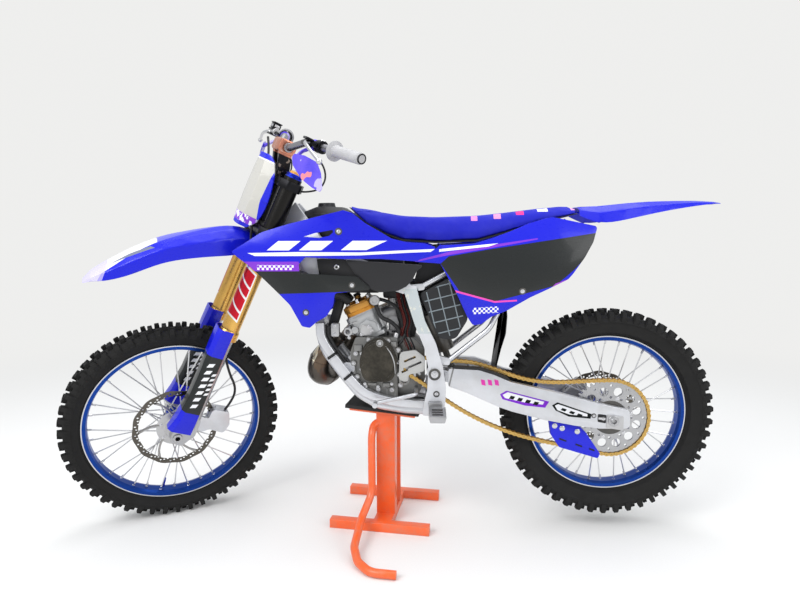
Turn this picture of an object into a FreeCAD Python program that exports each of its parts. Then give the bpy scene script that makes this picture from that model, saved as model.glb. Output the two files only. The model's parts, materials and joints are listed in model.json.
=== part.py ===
import FreeCAD, Part
import math
import os
import Sketcher

from FreeCAD import Placement, Rotation, Vector

# Motocross bike on a lift stand. The bike faces -X, its left side is -Y, +Z is up.
# The origin is on the floor, under the crossing of the stand's foot and the bike's middle plane.

doc = FreeCAD.newDocument("DirtBike")

# Driving dimensions: name, value in mm or degrees, meaning
SIZES = (
    ("front_axle_reach", 722.2, "front axle ahead of the origin, steering straight"),
    ("front_axle_height", 346.0, "front axle above the floor, steering straight"),
    ("rear_axle_reach", 720.3, "rear axle behind the origin"),
    ("rear_axle_height", 384.6, "rear axle above the floor"),
    ("rake_angle", 24.47, "steering axis from vertical"),
    ("axle_lead", 55.0, "front axle ahead of the steering axis"),
    ("fork_lead", 30.0, "fork legs ahead of the steering axis"),
    ("steer_angle", 29.4, "steering turned left as it stands"),
    ("fork_spacing", 208.0, "fork leg to fork leg"),
    ("front_tyre_radius", 347.0, "to the tips of the lugs"),
    ("front_tyre_width", 90.0, "over the shoulder lugs"),
    ("front_rim_radius", 280.0, "over the rim flange"),
    ("front_rim_width", 48.0, "over the rim flanges"),
    ("rear_tyre_radius", 341.0, "to the tips of the lugs"),
    ("rear_tyre_width", 112.0, "over the shoulder lugs"),
    ("rear_rim_radius", 255.5, "over the rim flange"),
    ("rear_rim_width", 54.0, "over the rim flanges"),
    ("lug_height", 15.0, "tyre lugs above the casing"),
    ("lug_gap", 9.0, "groove between the lug rows"),
    ("rim_wall", 4.0, "rim flange thickness"),
    ("rim_depth", 18.0, "rim flange to the well's underside"),
    ("spoke_radius", 2.2, "spoke"),
    ("hub_core_radius", 22.0, "hub barrel"),
    ("hub_flange_radius", 33.0, "hub flange that holds the spokes"),
    ("front_hub_width", 64.0, "between the outer faces of the front flanges"),
    ("rear_hub_width", 84.0, "between the outer faces of the rear flanges"),
    ("axle_radius", 10.0, "both wheel axles"),
    ("axle_bore", 7.5, "hollow of the wheel axles"),
    ("axle_play", 0.05, "bearing clearance on the axles"),
    ("disc_thickness", 3.0, "brake discs"),
    ("front_disc_radius", 135.0, "front brake disc"),
    ("front_disc_offset", 50.0, "front disc left of the wheel's middle"),
    ("rear_disc_radius", 121.0, "rear brake disc"),
    ("rear_disc_offset", 62.0, "rear disc right of the wheel's middle"),
    ("chain_pitch", 15.875, "chain pin to pin"),
    ("chain_offset", 71.0, "chain left of the middle"),
    ("chain_width", 17.0, "over the outer plates"),
    ("sprocket_thickness", 6.0, "rear sprocket"),
    ("drive_reach", 93.0, "drive sprocket behind the origin"),
    ("drive_height", 549.0, "drive sprocket above the floor"),
    ("pivot_reach", 159.0, "swing arm pivot behind the origin"),
    ("pivot_height", 533.0, "swing arm pivot above the floor"),
    ("pivot_radius", 9.0, "swing arm pivot bolt"),
    ("arm_half_span", 84.0, "inner faces of the swing arm's beams"),
    ("arm_thickness", 22.0, "swing arm beam across"),
    ("plate_inner", 100.0, "inner faces of the pivot plates"),
    ("plate_thickness", 18.0, "pivot plates"),
    ("fork_tube_radius", 28.0, "upper fork tube"),
    ("fork_slider_radius", 24.0, "lower fork tube"),
    ("bar_radius", 11.1, "handlebar ends"),
    ("bar_thick_radius", 14.3, "handlebar at the clamp"),
    ("bar_half_span", 402.0, "middle to the end of a grip"),
    ("grip_radius", 16.5, "grip"),
    ("rail_size", 30.0, "stand foot rails, square tube"),
    ("rail_length", 332.0, "stand foot rails"),
    ("rail_spacing", 258.0, "stand foot rails, centre to centre"),
    ("stand_shift", 36.0, "stand centre right of the middle"),
    ("stand_yaw", -8.0, "stand turned about the vertical"),
    ("pad_length", 246.0, "stand pad"),
    ("pad_width", 186.0, "stand pad"),
    ("pad_thickness", 12.0, "stand pad"),
    ("pad_height", 399.0, "top of the pad at the stand's centre"),
    ("pad_tilt", 4.0, "pad falls towards the rear"),
    ("panel_thickness", 3.0, "moulded plastic panels"),
    ("running_gap", 0.3, "between pieces that only lie side by side"),
)

sheet = doc.addObject("Spreadsheet::Sheet", "Sizes")
for row, (alias, value, meaning) in enumerate(SIZES, start=1):
    sheet.set(f"A{row}", alias)
    sheet.set(f"B{row}", str(value))
    sheet.setAlias(f"B{row}", alias)
    sheet.set(f"C{row}", meaning)
doc.recompute()


class Size:
    """A number together with the sheet formula that gives it."""

    def __init__(self, value, text=None):
        self.value = float(value)
        self.text = text if text else repr(float(value))

    def __float__(self):
        return self.value

    def joined(self, other, sign, value):
        return Size(value, f"({self.text} {sign} {as_size(other).text})")

    def __add__(self, other):
        return self.joined(other, "+", self.value + float(other))

    def __sub__(self, other):
        return self.joined(other, "-", self.value - float(other))

    def __mul__(self, other):
        return self.joined(other, "*", self.value * float(other))

    def __truediv__(self, other):
        return self.joined(other, "/", self.value / float(other))

    def __radd__(self, other):
        return as_size(other) + self

    def __rsub__(self, other):
        return as_size(other) - self

    def __rmul__(self, other):
        return as_size(other) * self

    def __neg__(self):
        return 0 - self


def as_size(value):
    return value if isinstance(value, Size) else Size(value)


def size(alias):
    return Size(getattr(sheet, alias), f"Sizes.{alias}")


def bind(thing, **rules):
    """Tie properties to sheet formulas; plain numbers are set as they are."""
    for prop, rule in rules.items():
        if isinstance(rule, Size) and "Sizes." in rule.text:
            thing.setExpression(prop, rule.text)
        else:
            setattr(thing, prop, float(rule))
    return thing


def at(x=0, y=0, z=0, turn=None):
    return Placement(Vector(float(x), float(y), float(z)), turn or Rotation())


def about(axis, angle):
    return Rotation(Vector(*axis), float(angle))


X_AXIS = (1, 0, 0)
Y_AXIS = (0, 1, 0)
Z_AXIS = (0, 0, 1)
LEFT = -1
RIGHT = 1
SIDES = (LEFT, RIGHT)

gap = size("running_gap")
rake = math.radians(float(size("rake_angle")))
fork_y = size("fork_spacing") / 2

# The steering frame: z runs up the steering axis, x points rearward, the front axle is at z = 0
axis_foot = Vector(
    -float(size("front_axle_reach")) + float(size("axle_lead")) * math.cos(rake),
    0,
    float(size("front_axle_height")) - float(size("axle_lead")) * math.sin(rake),
)
lean = Placement(axis_foot, about(Y_AXIS, size("rake_angle")))
STEERING = lean.multiply(at(turn=about(Z_AXIS, size("steer_angle"))))
STRAIGHT = STEERING.multiply(lean.inverse())
FRONT_WHEEL = STEERING.multiply(at(x=-size("axle_lead")))
REAR_WHEEL = at(x=size("rear_axle_reach"), z=size("rear_axle_height"))
FRAME = at()

nodes = {}


def node(name, pieces, place=FRAME):
    """One named sub-part of the bike: its pieces share one placement."""
    group = doc.addObject("Part::Compound", name)
    group.Label = name
    group.Links = pieces
    group.Placement = place
    nodes[name] = group
    return group


# Building blocks


def box(name, length, width, height, place):
    """Block centred on its placement along x and y, rising from it along z."""
    block = doc.addObject("Part::Box", name)
    bind(block, Length=length, Width=width, Height=height)
    corner = at(-as_size(length) / 2, -as_size(width) / 2, 0)
    block.Placement = place.multiply(corner)
    return block


def rod(name, radius, length, place):
    """Cylinder centred on its placement, along the placement's own z."""
    shaft = doc.addObject("Part::Cylinder", name)
    bind(shaft, Radius=radius, Height=length)
    shaft.Placement = place.multiply(at(z=-as_size(length) / 2))
    return shaft


def across(x, z, y=0):
    """Placement whose own z points to the bike's right."""
    return at(x, y, z, about(X_AXIS, -90))


def feature(name, shape, place=None):
    """Shape worked out here, for forms that no primitive or sketch feature fits."""
    piece = doc.addObject("Part::Feature", name)
    piece.Shape = shape
    if place:
        piece.Placement = place
    return piece


def fused(name, pieces):
    whole = doc.addObject("Part::MultiFuse", name)
    whole.Shapes = pieces
    whole.Refine = False
    return whole


def cut(name, base, tool):
    rest = doc.addObject("Part::Cut", name)
    rest.Base = base
    rest.Tool = tool
    rest.Refine = False
    return rest


def rounded(corners, spot):
    """Closed wire of straight runs and tangent arcs; a corner is (u, v, radius)."""
    points = [spot(float(c[0]), float(c[1])) for c in corners]
    radii = [float(c[2]) if len(c) > 2 else 0.0 for c in corners]
    count = len(points)
    entries = []
    for i, radius in enumerate(radii):
        here, before, after = points[i], points[i - 1], points[(i + 1) % count]
        back = before - here
        onward = after - here
        turn = back.getAngle(onward)
        if radius <= 0 or turn > math.pi - 0.02:
            entries.append((here, here, None))
            continue
        reach = min(radius / math.tan(turn / 2), back.Length * 0.48, onward.Length * 0.48)
        bow = reach * math.tan(turn / 2)
        back.normalize()
        onward.normalize()
        middle = back + onward
        middle.normalize()
        depth = bow / math.sin(turn / 2) - bow
        entries.append((here + back * reach, here + onward * reach, here + middle * depth))
    edges = []
    for i, (start, end, middle) in enumerate(entries):
        if middle:
            edges.append(Part.Arc(start, middle, end).toShape())
        following = entries[(i + 1) % count][0]
        if end.distanceToPoint(following) > 1e-6:
            edges.append(Part.LineSegment(end, following).toShape())
    return Part.Wire(edges)


def side_view(y=0):
    return lambda u, v: Vector(u, float(y), v)


def plan_view(z=0):
    return lambda u, v: Vector(u, v, float(z))


def front_view(x=0):
    return lambda u, v: Vector(float(x), u, v)


def slab(corners, low, high):
    """Side-view outline thickened from y = low to y = high."""
    face = Part.Face(rounded(corners, side_view(low)))
    return face.extrude(Vector(0, float(high) - float(low), 0))


def plan_slab(corners, low, high):
    """Plan-view outline thickened from z = low to z = high."""
    face = Part.Face(rounded(corners, plan_view(low)))
    return face.extrude(Vector(0, 0, float(high) - float(low)))


def front_slab(corners, low, high):
    """Front-view outline thickened from x = low to x = high."""
    face = Part.Face(rounded(corners, front_view(low)))
    return face.extrude(Vector(float(high) - float(low), 0, 0))


def path_of(points, bend):
    """Open wire of straight runs joined by tangent arcs."""
    spots = [Vector(*(float(v) for v in p)) for p in points]
    edges = []
    start = spots[0]
    for i in range(1, len(spots) - 1):
        here = spots[i]
        back = spots[i - 1] - here
        onward = spots[i + 1] - here
        turn = back.getAngle(onward)
        if turn > math.pi - 0.01:
            continue
        reach = min(bend / math.tan(turn / 2), back.Length * 0.45, onward.Length * 0.45)
        bow = reach * math.tan(turn / 2)
        back.normalize()
        onward.normalize()
        middle = back + onward
        middle.normalize()
        enter = here + back * reach
        leave = here + onward * reach
        edges.append(Part.LineSegment(start, enter).toShape())
        top = here + middle * (bow / math.sin(turn / 2) - bow)
        edges.append(Part.Arc(enter, top, leave).toShape())
        start = leave
    edges.append(Part.LineSegment(start, spots[-1]).toShape())
    return Part.Wire(edges)


def tube(points, radius, bend=60.0, hollow=0):
    """Round tube along runs and tangent arcs."""
    path = path_of(points, bend)
    start = path.OrderedVertexes[0].Point
    heading = path.OrderedEdges[0].tangentAt(path.OrderedEdges[0].FirstParameter)
    ring = Part.Wire(Part.makeCircle(float(radius), start, heading))
    solid = path.makePipeShell([ring], True, True)
    if hollow:
        inner = Part.Wire(Part.makeCircle(float(hollow), start, heading))
        solid = solid.cut(path.makePipeShell([inner], True, True))
    return solid


def beam(stations):
    """Straight-sided skin through rectangular stations (x, y, z, tilt, height, thickness)."""
    wires = []
    for x, y, z, tilt, height, thickness in stations:
        up = Vector(math.sin(math.radians(tilt)), 0, math.cos(math.radians(tilt))) * (height / 2)
        side = Vector(0, thickness / 2, 0)
        middle = Vector(float(x), float(y), float(z))
        corners = [middle + up - side, middle + up + side, middle - up + side, middle - up - side]
        wires.append(Part.makePolygon(corners + corners[:1]))
    return Part.makeLoft(wires, True, True)


def skin(stations, closed=True):
    """Straight-ruled skin through polygons that have as many corners each."""
    wires = [Part.makePolygon([Vector(*p) for p in ring] + [Vector(*ring[0])]) for ring in stations]
    return Part.makeLoft(wires, closed, True)


def swelling(stations, corners=16):
    """Round duct of changing girth through stations (x, y, z, radius)."""
    spots = [Vector(*station[:3]) for station in stations]
    last = len(spots) - 1
    upright = Vector(*Z_AXIS)
    rings = []
    for i, station in enumerate(stations):
        way = (spots[min(i + 1, last)] - spots[max(i - 1, 0)]).normalize()
        upright = (upright - way * upright.dot(way)).normalize()
        side = way.cross(upright)
        ring = []
        for corner in range(corners):
            angle = 2 * math.pi * corner / corners
            ring.append(spots[i] + (upright * math.cos(angle) + side * math.sin(angle)) * station[3])
        rings.append(ring)
    return skin(rings)


def spun(name, corners):
    """Body turned about y from a closed half section of (radius, y) corners."""
    body = doc.addObject("PartDesign::Body", name)
    sketch = body.newObject("Sketcher::SketchObject", name + "_section")
    plane = [p for p in body.Origin.OriginFeatures if p.Role == "XY_Plane"][0]
    sketch.AttachmentSupport = [(plane, "")]
    sketch.MapMode = "FlatFace"
    count = len(corners)
    ends = [Vector(float(r), float(y), 0) for r, y in corners]
    for i in range(count):
        sketch.addGeometry(Part.LineSegment(ends[i], ends[(i + 1) % count]), False)
    for i in range(count):
        sketch.addConstraint(Sketcher.Constraint("Coincident", i, 2, (i + 1) % count, 1))
    for i, (r, y) in enumerate(corners):
        for kind, rule in (("DistanceX", r), ("DistanceY", y)):
            number = sketch.addConstraint(
                Sketcher.Constraint(kind, -1, 1, i, 1, float(rule))
            )
            if isinstance(rule, Size) and "Sizes." in rule.text:
                sketch.setExpression(f"Constraints[{number}]", rule.text)
    turned = body.newObject("PartDesign::Revolution", name + "_turned")
    turned.Profile = sketch
    turned.ReferenceAxis = (sketch, ["V_Axis"])
    turned.Angle = 360
    return body


# Wheels


def facet(*corners):
    return Part.Face(Part.makePolygon(list(corners) + [corners[0]]))


def closed_by(facets):
    """Solid inside a closed set of flat facets."""
    shell = Part.makeShell(facets)
    shell.sewShape()
    solid = Part.makeSolid(shell)
    if solid.Volume < 0:
        solid.reverse()
    return solid


tread_stations = 50


def tyre(name, radius, width, rim_radius, rim_width, place):
    """Knobbly tyre: centre lugs stand between pairs of shoulder lugs, station by station."""
    lug = float(size("lug_height"))
    radius, half = float(radius), float(width) / 2
    seat = float(rim_radius - size("rim_wall") - gap) - 6
    seat_half = float(rim_width / 2 - size("rim_wall") - gap)
    flat = math.cos(math.pi / tread_stations)
    # One side of the casing from the bead to the crown: radius, half width
    rows = ((seat / flat, seat_half), (float(rim_radius) + 1.5, seat_half), (radius - lug * 2.4, half - 5),
            (radius - lug * 1.15, half * 0.57), (radius - lug, half * 0.4))
    profile = [(r, -y) for r, y in rows] + [(r, y) for r, y in reversed(rows)]
    low_tip, high_tip = (radius - lug * 1.35, half), (radius - 2, half * 0.6)
    crown_tip = (radius, half * 0.36)
    # Lugs by the number of the facet they stand on: odd or even station, two tips (radius, y)
    lugs = {
        2: (1, (low_tip[0], -low_tip[1]), (high_tip[0], -high_tip[1])),
        4: (0, (crown_tip[0], -crown_tip[1]), crown_tip),
        6: (1, high_tip, low_tip),
    }
    taper = math.radians(0.7)

    def spot(point, angle):
        return Vector(point[0] * math.cos(angle), point[1], point[0] * math.sin(angle))

    facets = []
    for station in range(tread_stations):
        start = 2 * math.pi * station / tread_stations
        end = 2 * math.pi * (station + 1) / tread_stations
        for number, point in enumerate(profile):
            following = profile[(number + 1) % len(profile)]
            base = (spot(point, start), spot(following, start), spot(following, end), spot(point, end))
            turn, *tips = lugs.get(number, (-1,))
            if station % 2 != turn:
                facets.append(facet(*base))
                continue
            inset = taper if turn == 0 else 0
            first, second = start + inset, end - inset
            top = (spot(tips[0], first), spot(tips[1], first), spot(tips[1], second), spot(tips[0], second))
            facets.append(facet(*top))
            for corner in range(4):
                onward = (corner + 1) % 4
                facets.append(facet(base[corner], base[onward], top[onward], top[corner]))
    node(name, [feature(name + "_casing", closed_by(facets))], place)


def rim(name, radius, width, place):
    wall = size("rim_wall")
    half = width / 2
    bead = radius - wall - gap - 6
    well = radius - size("rim_depth")
    corners = (
        (radius, -half),
        (radius, -half + wall),
        (bead - gap, -half + wall),
        (well + wall, -half / 2),
        (well + wall, half / 2),
        (bead - gap, half - wall),
        (radius, half - wall),
        (radius, half),
        (bead - wall, half),
        (well, half / 2 + 1),
        (well, -half / 2 - 1),
        (bead - wall, -half),
    )
    node(name, [spun(name + "_hoop", corners)], place)


def spoke_set(name, rim_reach, hub_width):
    """Thirty-six laced spokes, four to a group, from the flanges to the rim."""
    flange = size("hub_flange_radius") - 4
    spokes = []
    lacing = ((LEFT, 1, 2.0), (RIGHT, 1, -2.0), (LEFT, -1, -3.0), (RIGHT, -1, 3.0))
    sweep = 62.0
    for group in range(9):
        for slot, (side, lean_way, inset) in enumerate(lacing):
            foot = math.radians(group * 40.0 + slot * 10.0)
            head = foot + math.radians(sweep * lean_way)
            y_foot = side * (float(hub_width) / 2 - 4) + inset
            start = Vector(
                float(flange) * math.cos(head), y_foot, float(flange) * math.sin(head)
            )
            y_rim = side * 6.0
            end = Vector(
                float(rim_reach) * math.cos(foot), y_rim, float(rim_reach) * math.sin(foot)
            )
            spokes.append((start, end))
    pieces = []
    for number, (start, end) in enumerate(spokes):
        way = end - start
        wire = doc.addObject("Part::Prism", f"{name}_{number}")
        wire.Polygon = 5
        bind(wire, Circumradius=size("spoke_radius"), Height=way.Length)
        wire.Placement = Placement(start, Rotation(Vector(*Z_AXIS), way))
        pieces.append(wire)
    return pieces


def hub(name, rim_radius, width, left_seat, right_seat, place):
    """Hub with its flanges, disc and sprocket seats, and its spokes."""
    core = size("hub_core_radius")
    flange = size("hub_flange_radius")
    half = width / 2
    bore = size("axle_radius") + size("axle_play")
    corners = (
        (bore, -left_seat),
        (core + 6, -left_seat),
        (core + 6, -half - 4),
        (flange, -half),
        (flange, -half + 7),
        (core, -half + 14),
        (core, half - 14),
        (flange, half - 7),
        (flange, half),
        (core + 6, half + 4),
        (core + 6, right_seat),
        (bore, right_seat),
    )
    barrel = spun(name + "_barrel", corners)
    reach = rim_radius - size("rim_depth") - gap
    spokes = spoke_set(name + "_spoke", reach, width)
    node(name, [fused(name + "_laced", [barrel] + spokes)], place)


def plate_ring(name, outer, inner, thickness, y):
    ring = doc.addObject("Part::Cylinder", name + "_disc")
    bind(ring, Radius=outer, Height=thickness)
    ring.Placement = across(0, 0, y - as_size(thickness) / 2)
    hole = doc.addObject("Part::Cylinder", name + "_window")
    bind(hole, Radius=inner, Height=thickness * 3)
    hole.Placement = across(0, 0, y - as_size(thickness) * 1.5)
    return cut(name + "_ring", ring, hole)


def star(name, arms, inner, outer, width, thickness, y):
    """Arms between a bolt circle and a ring."""
    pieces = [plate_ring(name + "_boss", inner, size("hub_core_radius") - 6, thickness, y)]
    for arm in range(arms):
        angle = 360.0 * arm / arms
        turn = about(Y_AXIS, -angle)
        middle = Placement(Vector(0, float(y) - float(thickness) / 2, 0), turn)
        shift = at(x=(float(inner) + float(outer)) / 2, z=-float(width) / 2)
        block = box(
            f"{name}_arm{arm}",
            outer - inner + 6,
            thickness,
            width,
            middle.multiply(shift).multiply(at(y=float(thickness) / 2)),
        )
        pieces.append(block)
    return pieces


def waved(reach, depth, waves):
    """Round outline with shallow waves, as rounded corners."""
    corners = []
    for step in range(2 * waves):
        angle = math.pi * step / waves
        r = (reach if step % 2 == 0 else reach - depth) / math.cos(math.pi / (4 * waves))
        corners.append((r * math.cos(angle), r * math.sin(angle), 30))
    return corners


def brake_disc(name, radius, y, place):
    """Waved ring on six slim arms."""
    thickness = size("disc_thickness")
    wall = float(thickness) / 2
    band = radius - 24
    middle = float(y)
    ring = slab(waved(float(radius), 5.0, 12), middle - wall, middle + wall)
    window = slab(waved(float(band) + 3, 3.0, 12), middle - wall - 1, middle + wall + 1)
    pieces = [feature(name + "_outer", ring.cut(window))]
    pieces += star(name, 6, size("hub_flange_radius") + 4, band, 10.0, thickness, y)
    node(name, [fused(name + "_whole", pieces)], place)


def sprocket():
    """Rear sprocket with a tooth for each chain pin, open between ring and bolt circle."""
    pitch = float(size("chain_pitch"))
    teeth = 48
    radius = pitch / (2 * math.sin(math.pi / teeth))
    corners = []
    for tooth in range(teeth):
        middle = 360.0 * tooth / teeth
        for turn, reach in ((-2.6, -4.6), (-1.1, 4.4), (1.1, 4.4), (2.6, -4.6)):
            angle = math.radians(middle + turn)
            corners.append(((radius + reach) * math.cos(angle), (radius + reach) * math.sin(angle)))
    y = -size("chain_offset")
    half = size("sprocket_thickness") / 2
    blank = feature("sprocket_blank", slab(corners, y - half, y + half))
    windows = []
    # Rings of lightening holes: hole radius, ring radius, degrees of the first hole
    for number, (hole, ring, first) in enumerate(((14.0, 86.0, 15.0), (4.2, 104.0, 0.0), (4.2, 66.0, 0.0))):
        for turn in range(12):
            angle = math.radians(first + 30.0 * turn)
            windows.append(rod(f"sprocket_hole{number}_{turn}", hole, 30.0,
                               across(ring * math.cos(angle), ring * math.sin(angle), y)))
    windows.append(rod("sprocket_eye", size("hub_core_radius") - 4, 30.0, across(0, 0, y)))
    opened = cut("sprocket_opened", blank, fused("sprocket_windows", windows))
    node("rear_sprocket", [opened], REAR_WHEEL)


tyre("front_tyre", size("front_tyre_radius"), size("front_tyre_width"),
     size("front_rim_radius"), size("front_rim_width"), FRONT_WHEEL)
rim("front_rim", size("front_rim_radius"), size("front_rim_width"), FRONT_WHEEL)
hub("front_hub", size("front_rim_radius"), size("front_hub_width"),
    size("front_disc_offset") - size("disc_thickness") / 2,
    size("front_hub_width") / 2 + 8, FRONT_WHEEL)
brake_disc("front_brake_disc", size("front_disc_radius"), -size("front_disc_offset"), FRONT_WHEEL)

tyre("rear_tyre", size("rear_tyre_radius"), size("rear_tyre_width"),
     size("rear_rim_radius"), size("rear_rim_width"), REAR_WHEEL)
rim("rear_rim", size("rear_rim_radius"), size("rear_rim_width"), REAR_WHEEL)
hub("rear_hub", size("rear_rim_radius"), size("rear_hub_width"),
    size("chain_offset") - size("sprocket_thickness") / 2,
    size("rear_disc_offset") - size("disc_thickness") / 2, REAR_WHEEL)
brake_disc("rear_brake_disc", size("rear_disc_radius"), size("rear_disc_offset"), REAR_WHEEL)
sprocket()


# Steering group


def pair(name, build):
    """The same piece made for the left and the right side."""
    return [build(f"{name}_{word}", side) for word, side in (("left", LEFT), ("right", RIGHT))]


clamp_low = 702.0
clamp_low_thick = 32.0
clamp_top = 868.0
clamp_top_thick = 26.0
fork_top = 912.0
fork_lip = 359.0
stem_radius = 14.0
head_low = clamp_low + clamp_low_thick + 5
head_top = clamp_top - 5


def fork_leg(name, side):
    lead = -size("fork_lead")
    outer = size("fork_tube_radius")
    profile = (
        (0.0, fork_lip), (outer + 4, fork_lip), (outer + 4, fork_lip + 26), (outer + 1, fork_lip + 34),
        (outer + 1, clamp_low), (outer, clamp_low), (outer, fork_top - 6), (outer - 4, fork_top),
        (0.0, fork_top),
    )
    return turned_up(name, profile, at(lead, side * fork_y))


def turned_up(name, corners, place):
    """Body turned about its own upright axis from (radius, height) corners."""
    body = spun(name, [(r, z) for r, z in corners])
    body.Placement = place.multiply(at(turn=about(X_AXIS, 90)))
    return body


def fork_slider(name, side):
    """Lower tube with the cast lug that holds the axle ahead of it."""
    lead = -float(size("fork_lead"))
    axle = -float(size("axle_lead"))
    y = side * float(fork_y)
    reach = float(size("fork_slider_radius"))
    tube_shape = Part.makeCylinder(reach, fork_lip - 40, Vector(lead, y, 40))
    outline = (
        (axle - 20, -20, 14), (axle + 20, -24, 14), (lead + reach, 20, 12), (lead + reach, 78, 10),
        (lead - reach, 78, 10), (axle - 22, 18, 12),
    )
    lug = slab(outline, y - 19, y + 19)
    bore = Part.makeCylinder(float(size("axle_radius") + size("axle_play")), 60,
                             Vector(axle, y - 30, 0), Vector(0, 1, 0))
    return feature(name, tube_shape.fuse(lug).cut(bore))


def clamp_plate(low, thick, reach):
    """Clamp seen from above: a waisted bridge between the two fork legs."""
    lead = -float(size("fork_lead"))
    y = float(fork_y)
    half = (
        (lead - 40, 0, 12), (lead - 36, y - 30, 14), (lead - 40, y + 8, 12), (lead - 18, y + 38, 14),
        (lead + 28, y + 34, 16), (lead + 38, y - 26, 14), (reach, 34, 18),
    )
    other = [(x, -v, r) for x, v, r in reversed(half[1:])]
    plate = plan_slab(list(half) + other, low, low + thick)
    leg_radius = float(size("fork_tube_radius")) + float(gap)
    for side in SIDES:
        plate = plate.cut(Part.makeCylinder(leg_radius, 80, Vector(lead, side * y, low - 20)))
    return plate


def triple_clamps():
    low = clamp_plate(clamp_low, clamp_low_thick, 30.0)
    top = clamp_plate(clamp_top, clamp_top_thick, 34.0)
    stem = Part.makeCylinder(stem_radius, clamp_top - clamp_low + 44, Vector(0, 0, clamp_low - 6))
    nut = Part.makeCylinder(20, 10, Vector(0, 0, clamp_top + clamp_top_thick))
    node("triple_clamps", [feature("clamps_and_stem", low.fuse([top, stem, nut]))], STEERING)


bar_x = -66.0
bar_z = 985.0
bar_bend = (-46.0, 132.0, 1018.0)
bar_end = (34.0, float(size("bar_half_span")), 1031.0)
bar_straight = 62.0
bar_way = (Vector(*bar_end) - Vector(*bar_bend)).normalize()


def bar_point(y, side=RIGHT):
    """Point on the bar's outer run at a distance y from the middle."""
    point = Vector(*bar_bend) + bar_way * ((y - bar_bend[1]) / bar_way.y)
    return Vector(point.x, side * point.y, point.z)


def bar_place(y, side):
    """Placement on the bar's outer run, its z pointing outward along the bar."""
    way = Vector(bar_way.x, side * bar_way.y, bar_way.z)
    return Placement(bar_point(y, side), Rotation(Vector(*Z_AXIS), way))


def handlebar():
    reach = float(size("bar_half_span")) - 3
    points = [bar_point(reach, LEFT), (bar_bend[0], -bar_bend[1], bar_bend[2]),
              (bar_x, -bar_straight, bar_z), (bar_x, bar_straight, bar_z), bar_bend,
              bar_point(reach, RIGHT)]
    bar = tube(points, size("bar_radius"), 70.0)
    middle = Part.makeCylinder(float(size("bar_thick_radius")), 2 * bar_straight - 10,
                               Vector(bar_x, -bar_straight + 5, bar_z), Vector(0, 1, 0))
    node("handlebar", [feature("bar_tube", bar.fuse(middle))], STEERING)


def bar_clamp():
    """Two posts on the top clamp and the block that grips the bar."""
    block = slab(((bar_x - 27, bar_z - 20, 8), (bar_x + 27, bar_z - 20, 8), (bar_x + 27, bar_z + 21, 10),
                  (bar_x - 27, bar_z + 21, 10)), -46, 46)
    hole = Part.makeCylinder(float(size("bar_thick_radius") + gap), 120,
                             Vector(bar_x, -60, bar_z), Vector(0, 1, 0))
    posts = []
    for side in SIDES:
        posts.append(slab(((-62, clamp_top + clamp_top_thick, 0), (-26, clamp_top + clamp_top_thick, 0),
                           (bar_x + 22, bar_z - 20, 0), (bar_x - 20, bar_z - 20, 0)),
                          side * 34 - 11, side * 34 + 11))
    node("bar_clamp", [feature("bar_block", block.fuse(posts).cut(hole))], STEERING)


grip_start = 278.0


def grip(name, side):
    length = float(size("bar_half_span")) - grip_start
    bore = float(size("bar_radius")) + 0.1
    outer = float(size("grip_radius"))
    profile = ((bore, 0), (29, 0), (29, 3), (outer + 2, 8), (outer, 16), (outer, length - 4),
               (outer - 3, length), (bore, length))
    return turned_up(name, profile, bar_place(grip_start, side))


def bar_core_at(y, side):
    core = Part.makeCylinder(float(size("bar_radius")) + 0.1, 120, Vector(0, 0, -60))
    core.Placement = bar_place(y, side)
    return core


lever_seat = 212.0
guard_seat = 186.0


def lever_set(name, side):
    """Clamp on the bar, pivot housing ahead of it and the lever blade."""
    bar_core = bar_core_at(lever_seat, side)
    place = bar_place(lever_seat, side)
    band = Part.makeCylinder(20, 26, Vector(0, 0, -13))
    band = band.cut(Part.makeCylinder(float(size("bar_radius")) + 0.1, 40, Vector(0, 0, -20)))
    band.Placement = place
    spot = bar_point(lever_seat, side)
    root = spot + Vector(-24, 0, -2)
    front = spot + Vector(-52, side * 18, -8)
    y_low, y_high = sorted((root.y - side * 16, root.y + side * 34))
    housing = Part.makeBox(36, y_high - y_low, 22, Vector(root.x - 36, y_low, root.z - 12))
    neck = Part.makeBox(12, 24, 16, Vector(root.x - 4, spot.y - 12, root.z - 8))
    neck = neck.cut(bar_core)
    tip = bar_point(392.0, side) + Vector(-46, 0, -16)
    middle = (front + tip) / 2 + Vector(-14, 0, 0)
    blade = tube([front, middle, tip], 5.0, 120.0)
    knob = Part.makeSphere(8.0, tip)
    return feature(name, band.fuse([housing, neck, blade, knob]))


def brake_reservoir():
    spot = bar_point(lever_seat, RIGHT)
    cup = Part.makeBox(30, 46, 22, Vector(spot.x - 58, spot.y - 10, spot.z + 8.3))
    return feature("brake_reservoir", cup)


def throttle_housing():
    place = bar_place(grip_start - 22, RIGHT)
    drum = Part.makeCylinder(24, 20, Vector(0, 0, 0))
    drum = drum.cut(Part.makeCylinder(float(size("bar_radius")) + 0.1, 40, Vector(0, 0, -10)))
    drum.Placement = place
    return feature("throttle_housing", drum)


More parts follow.
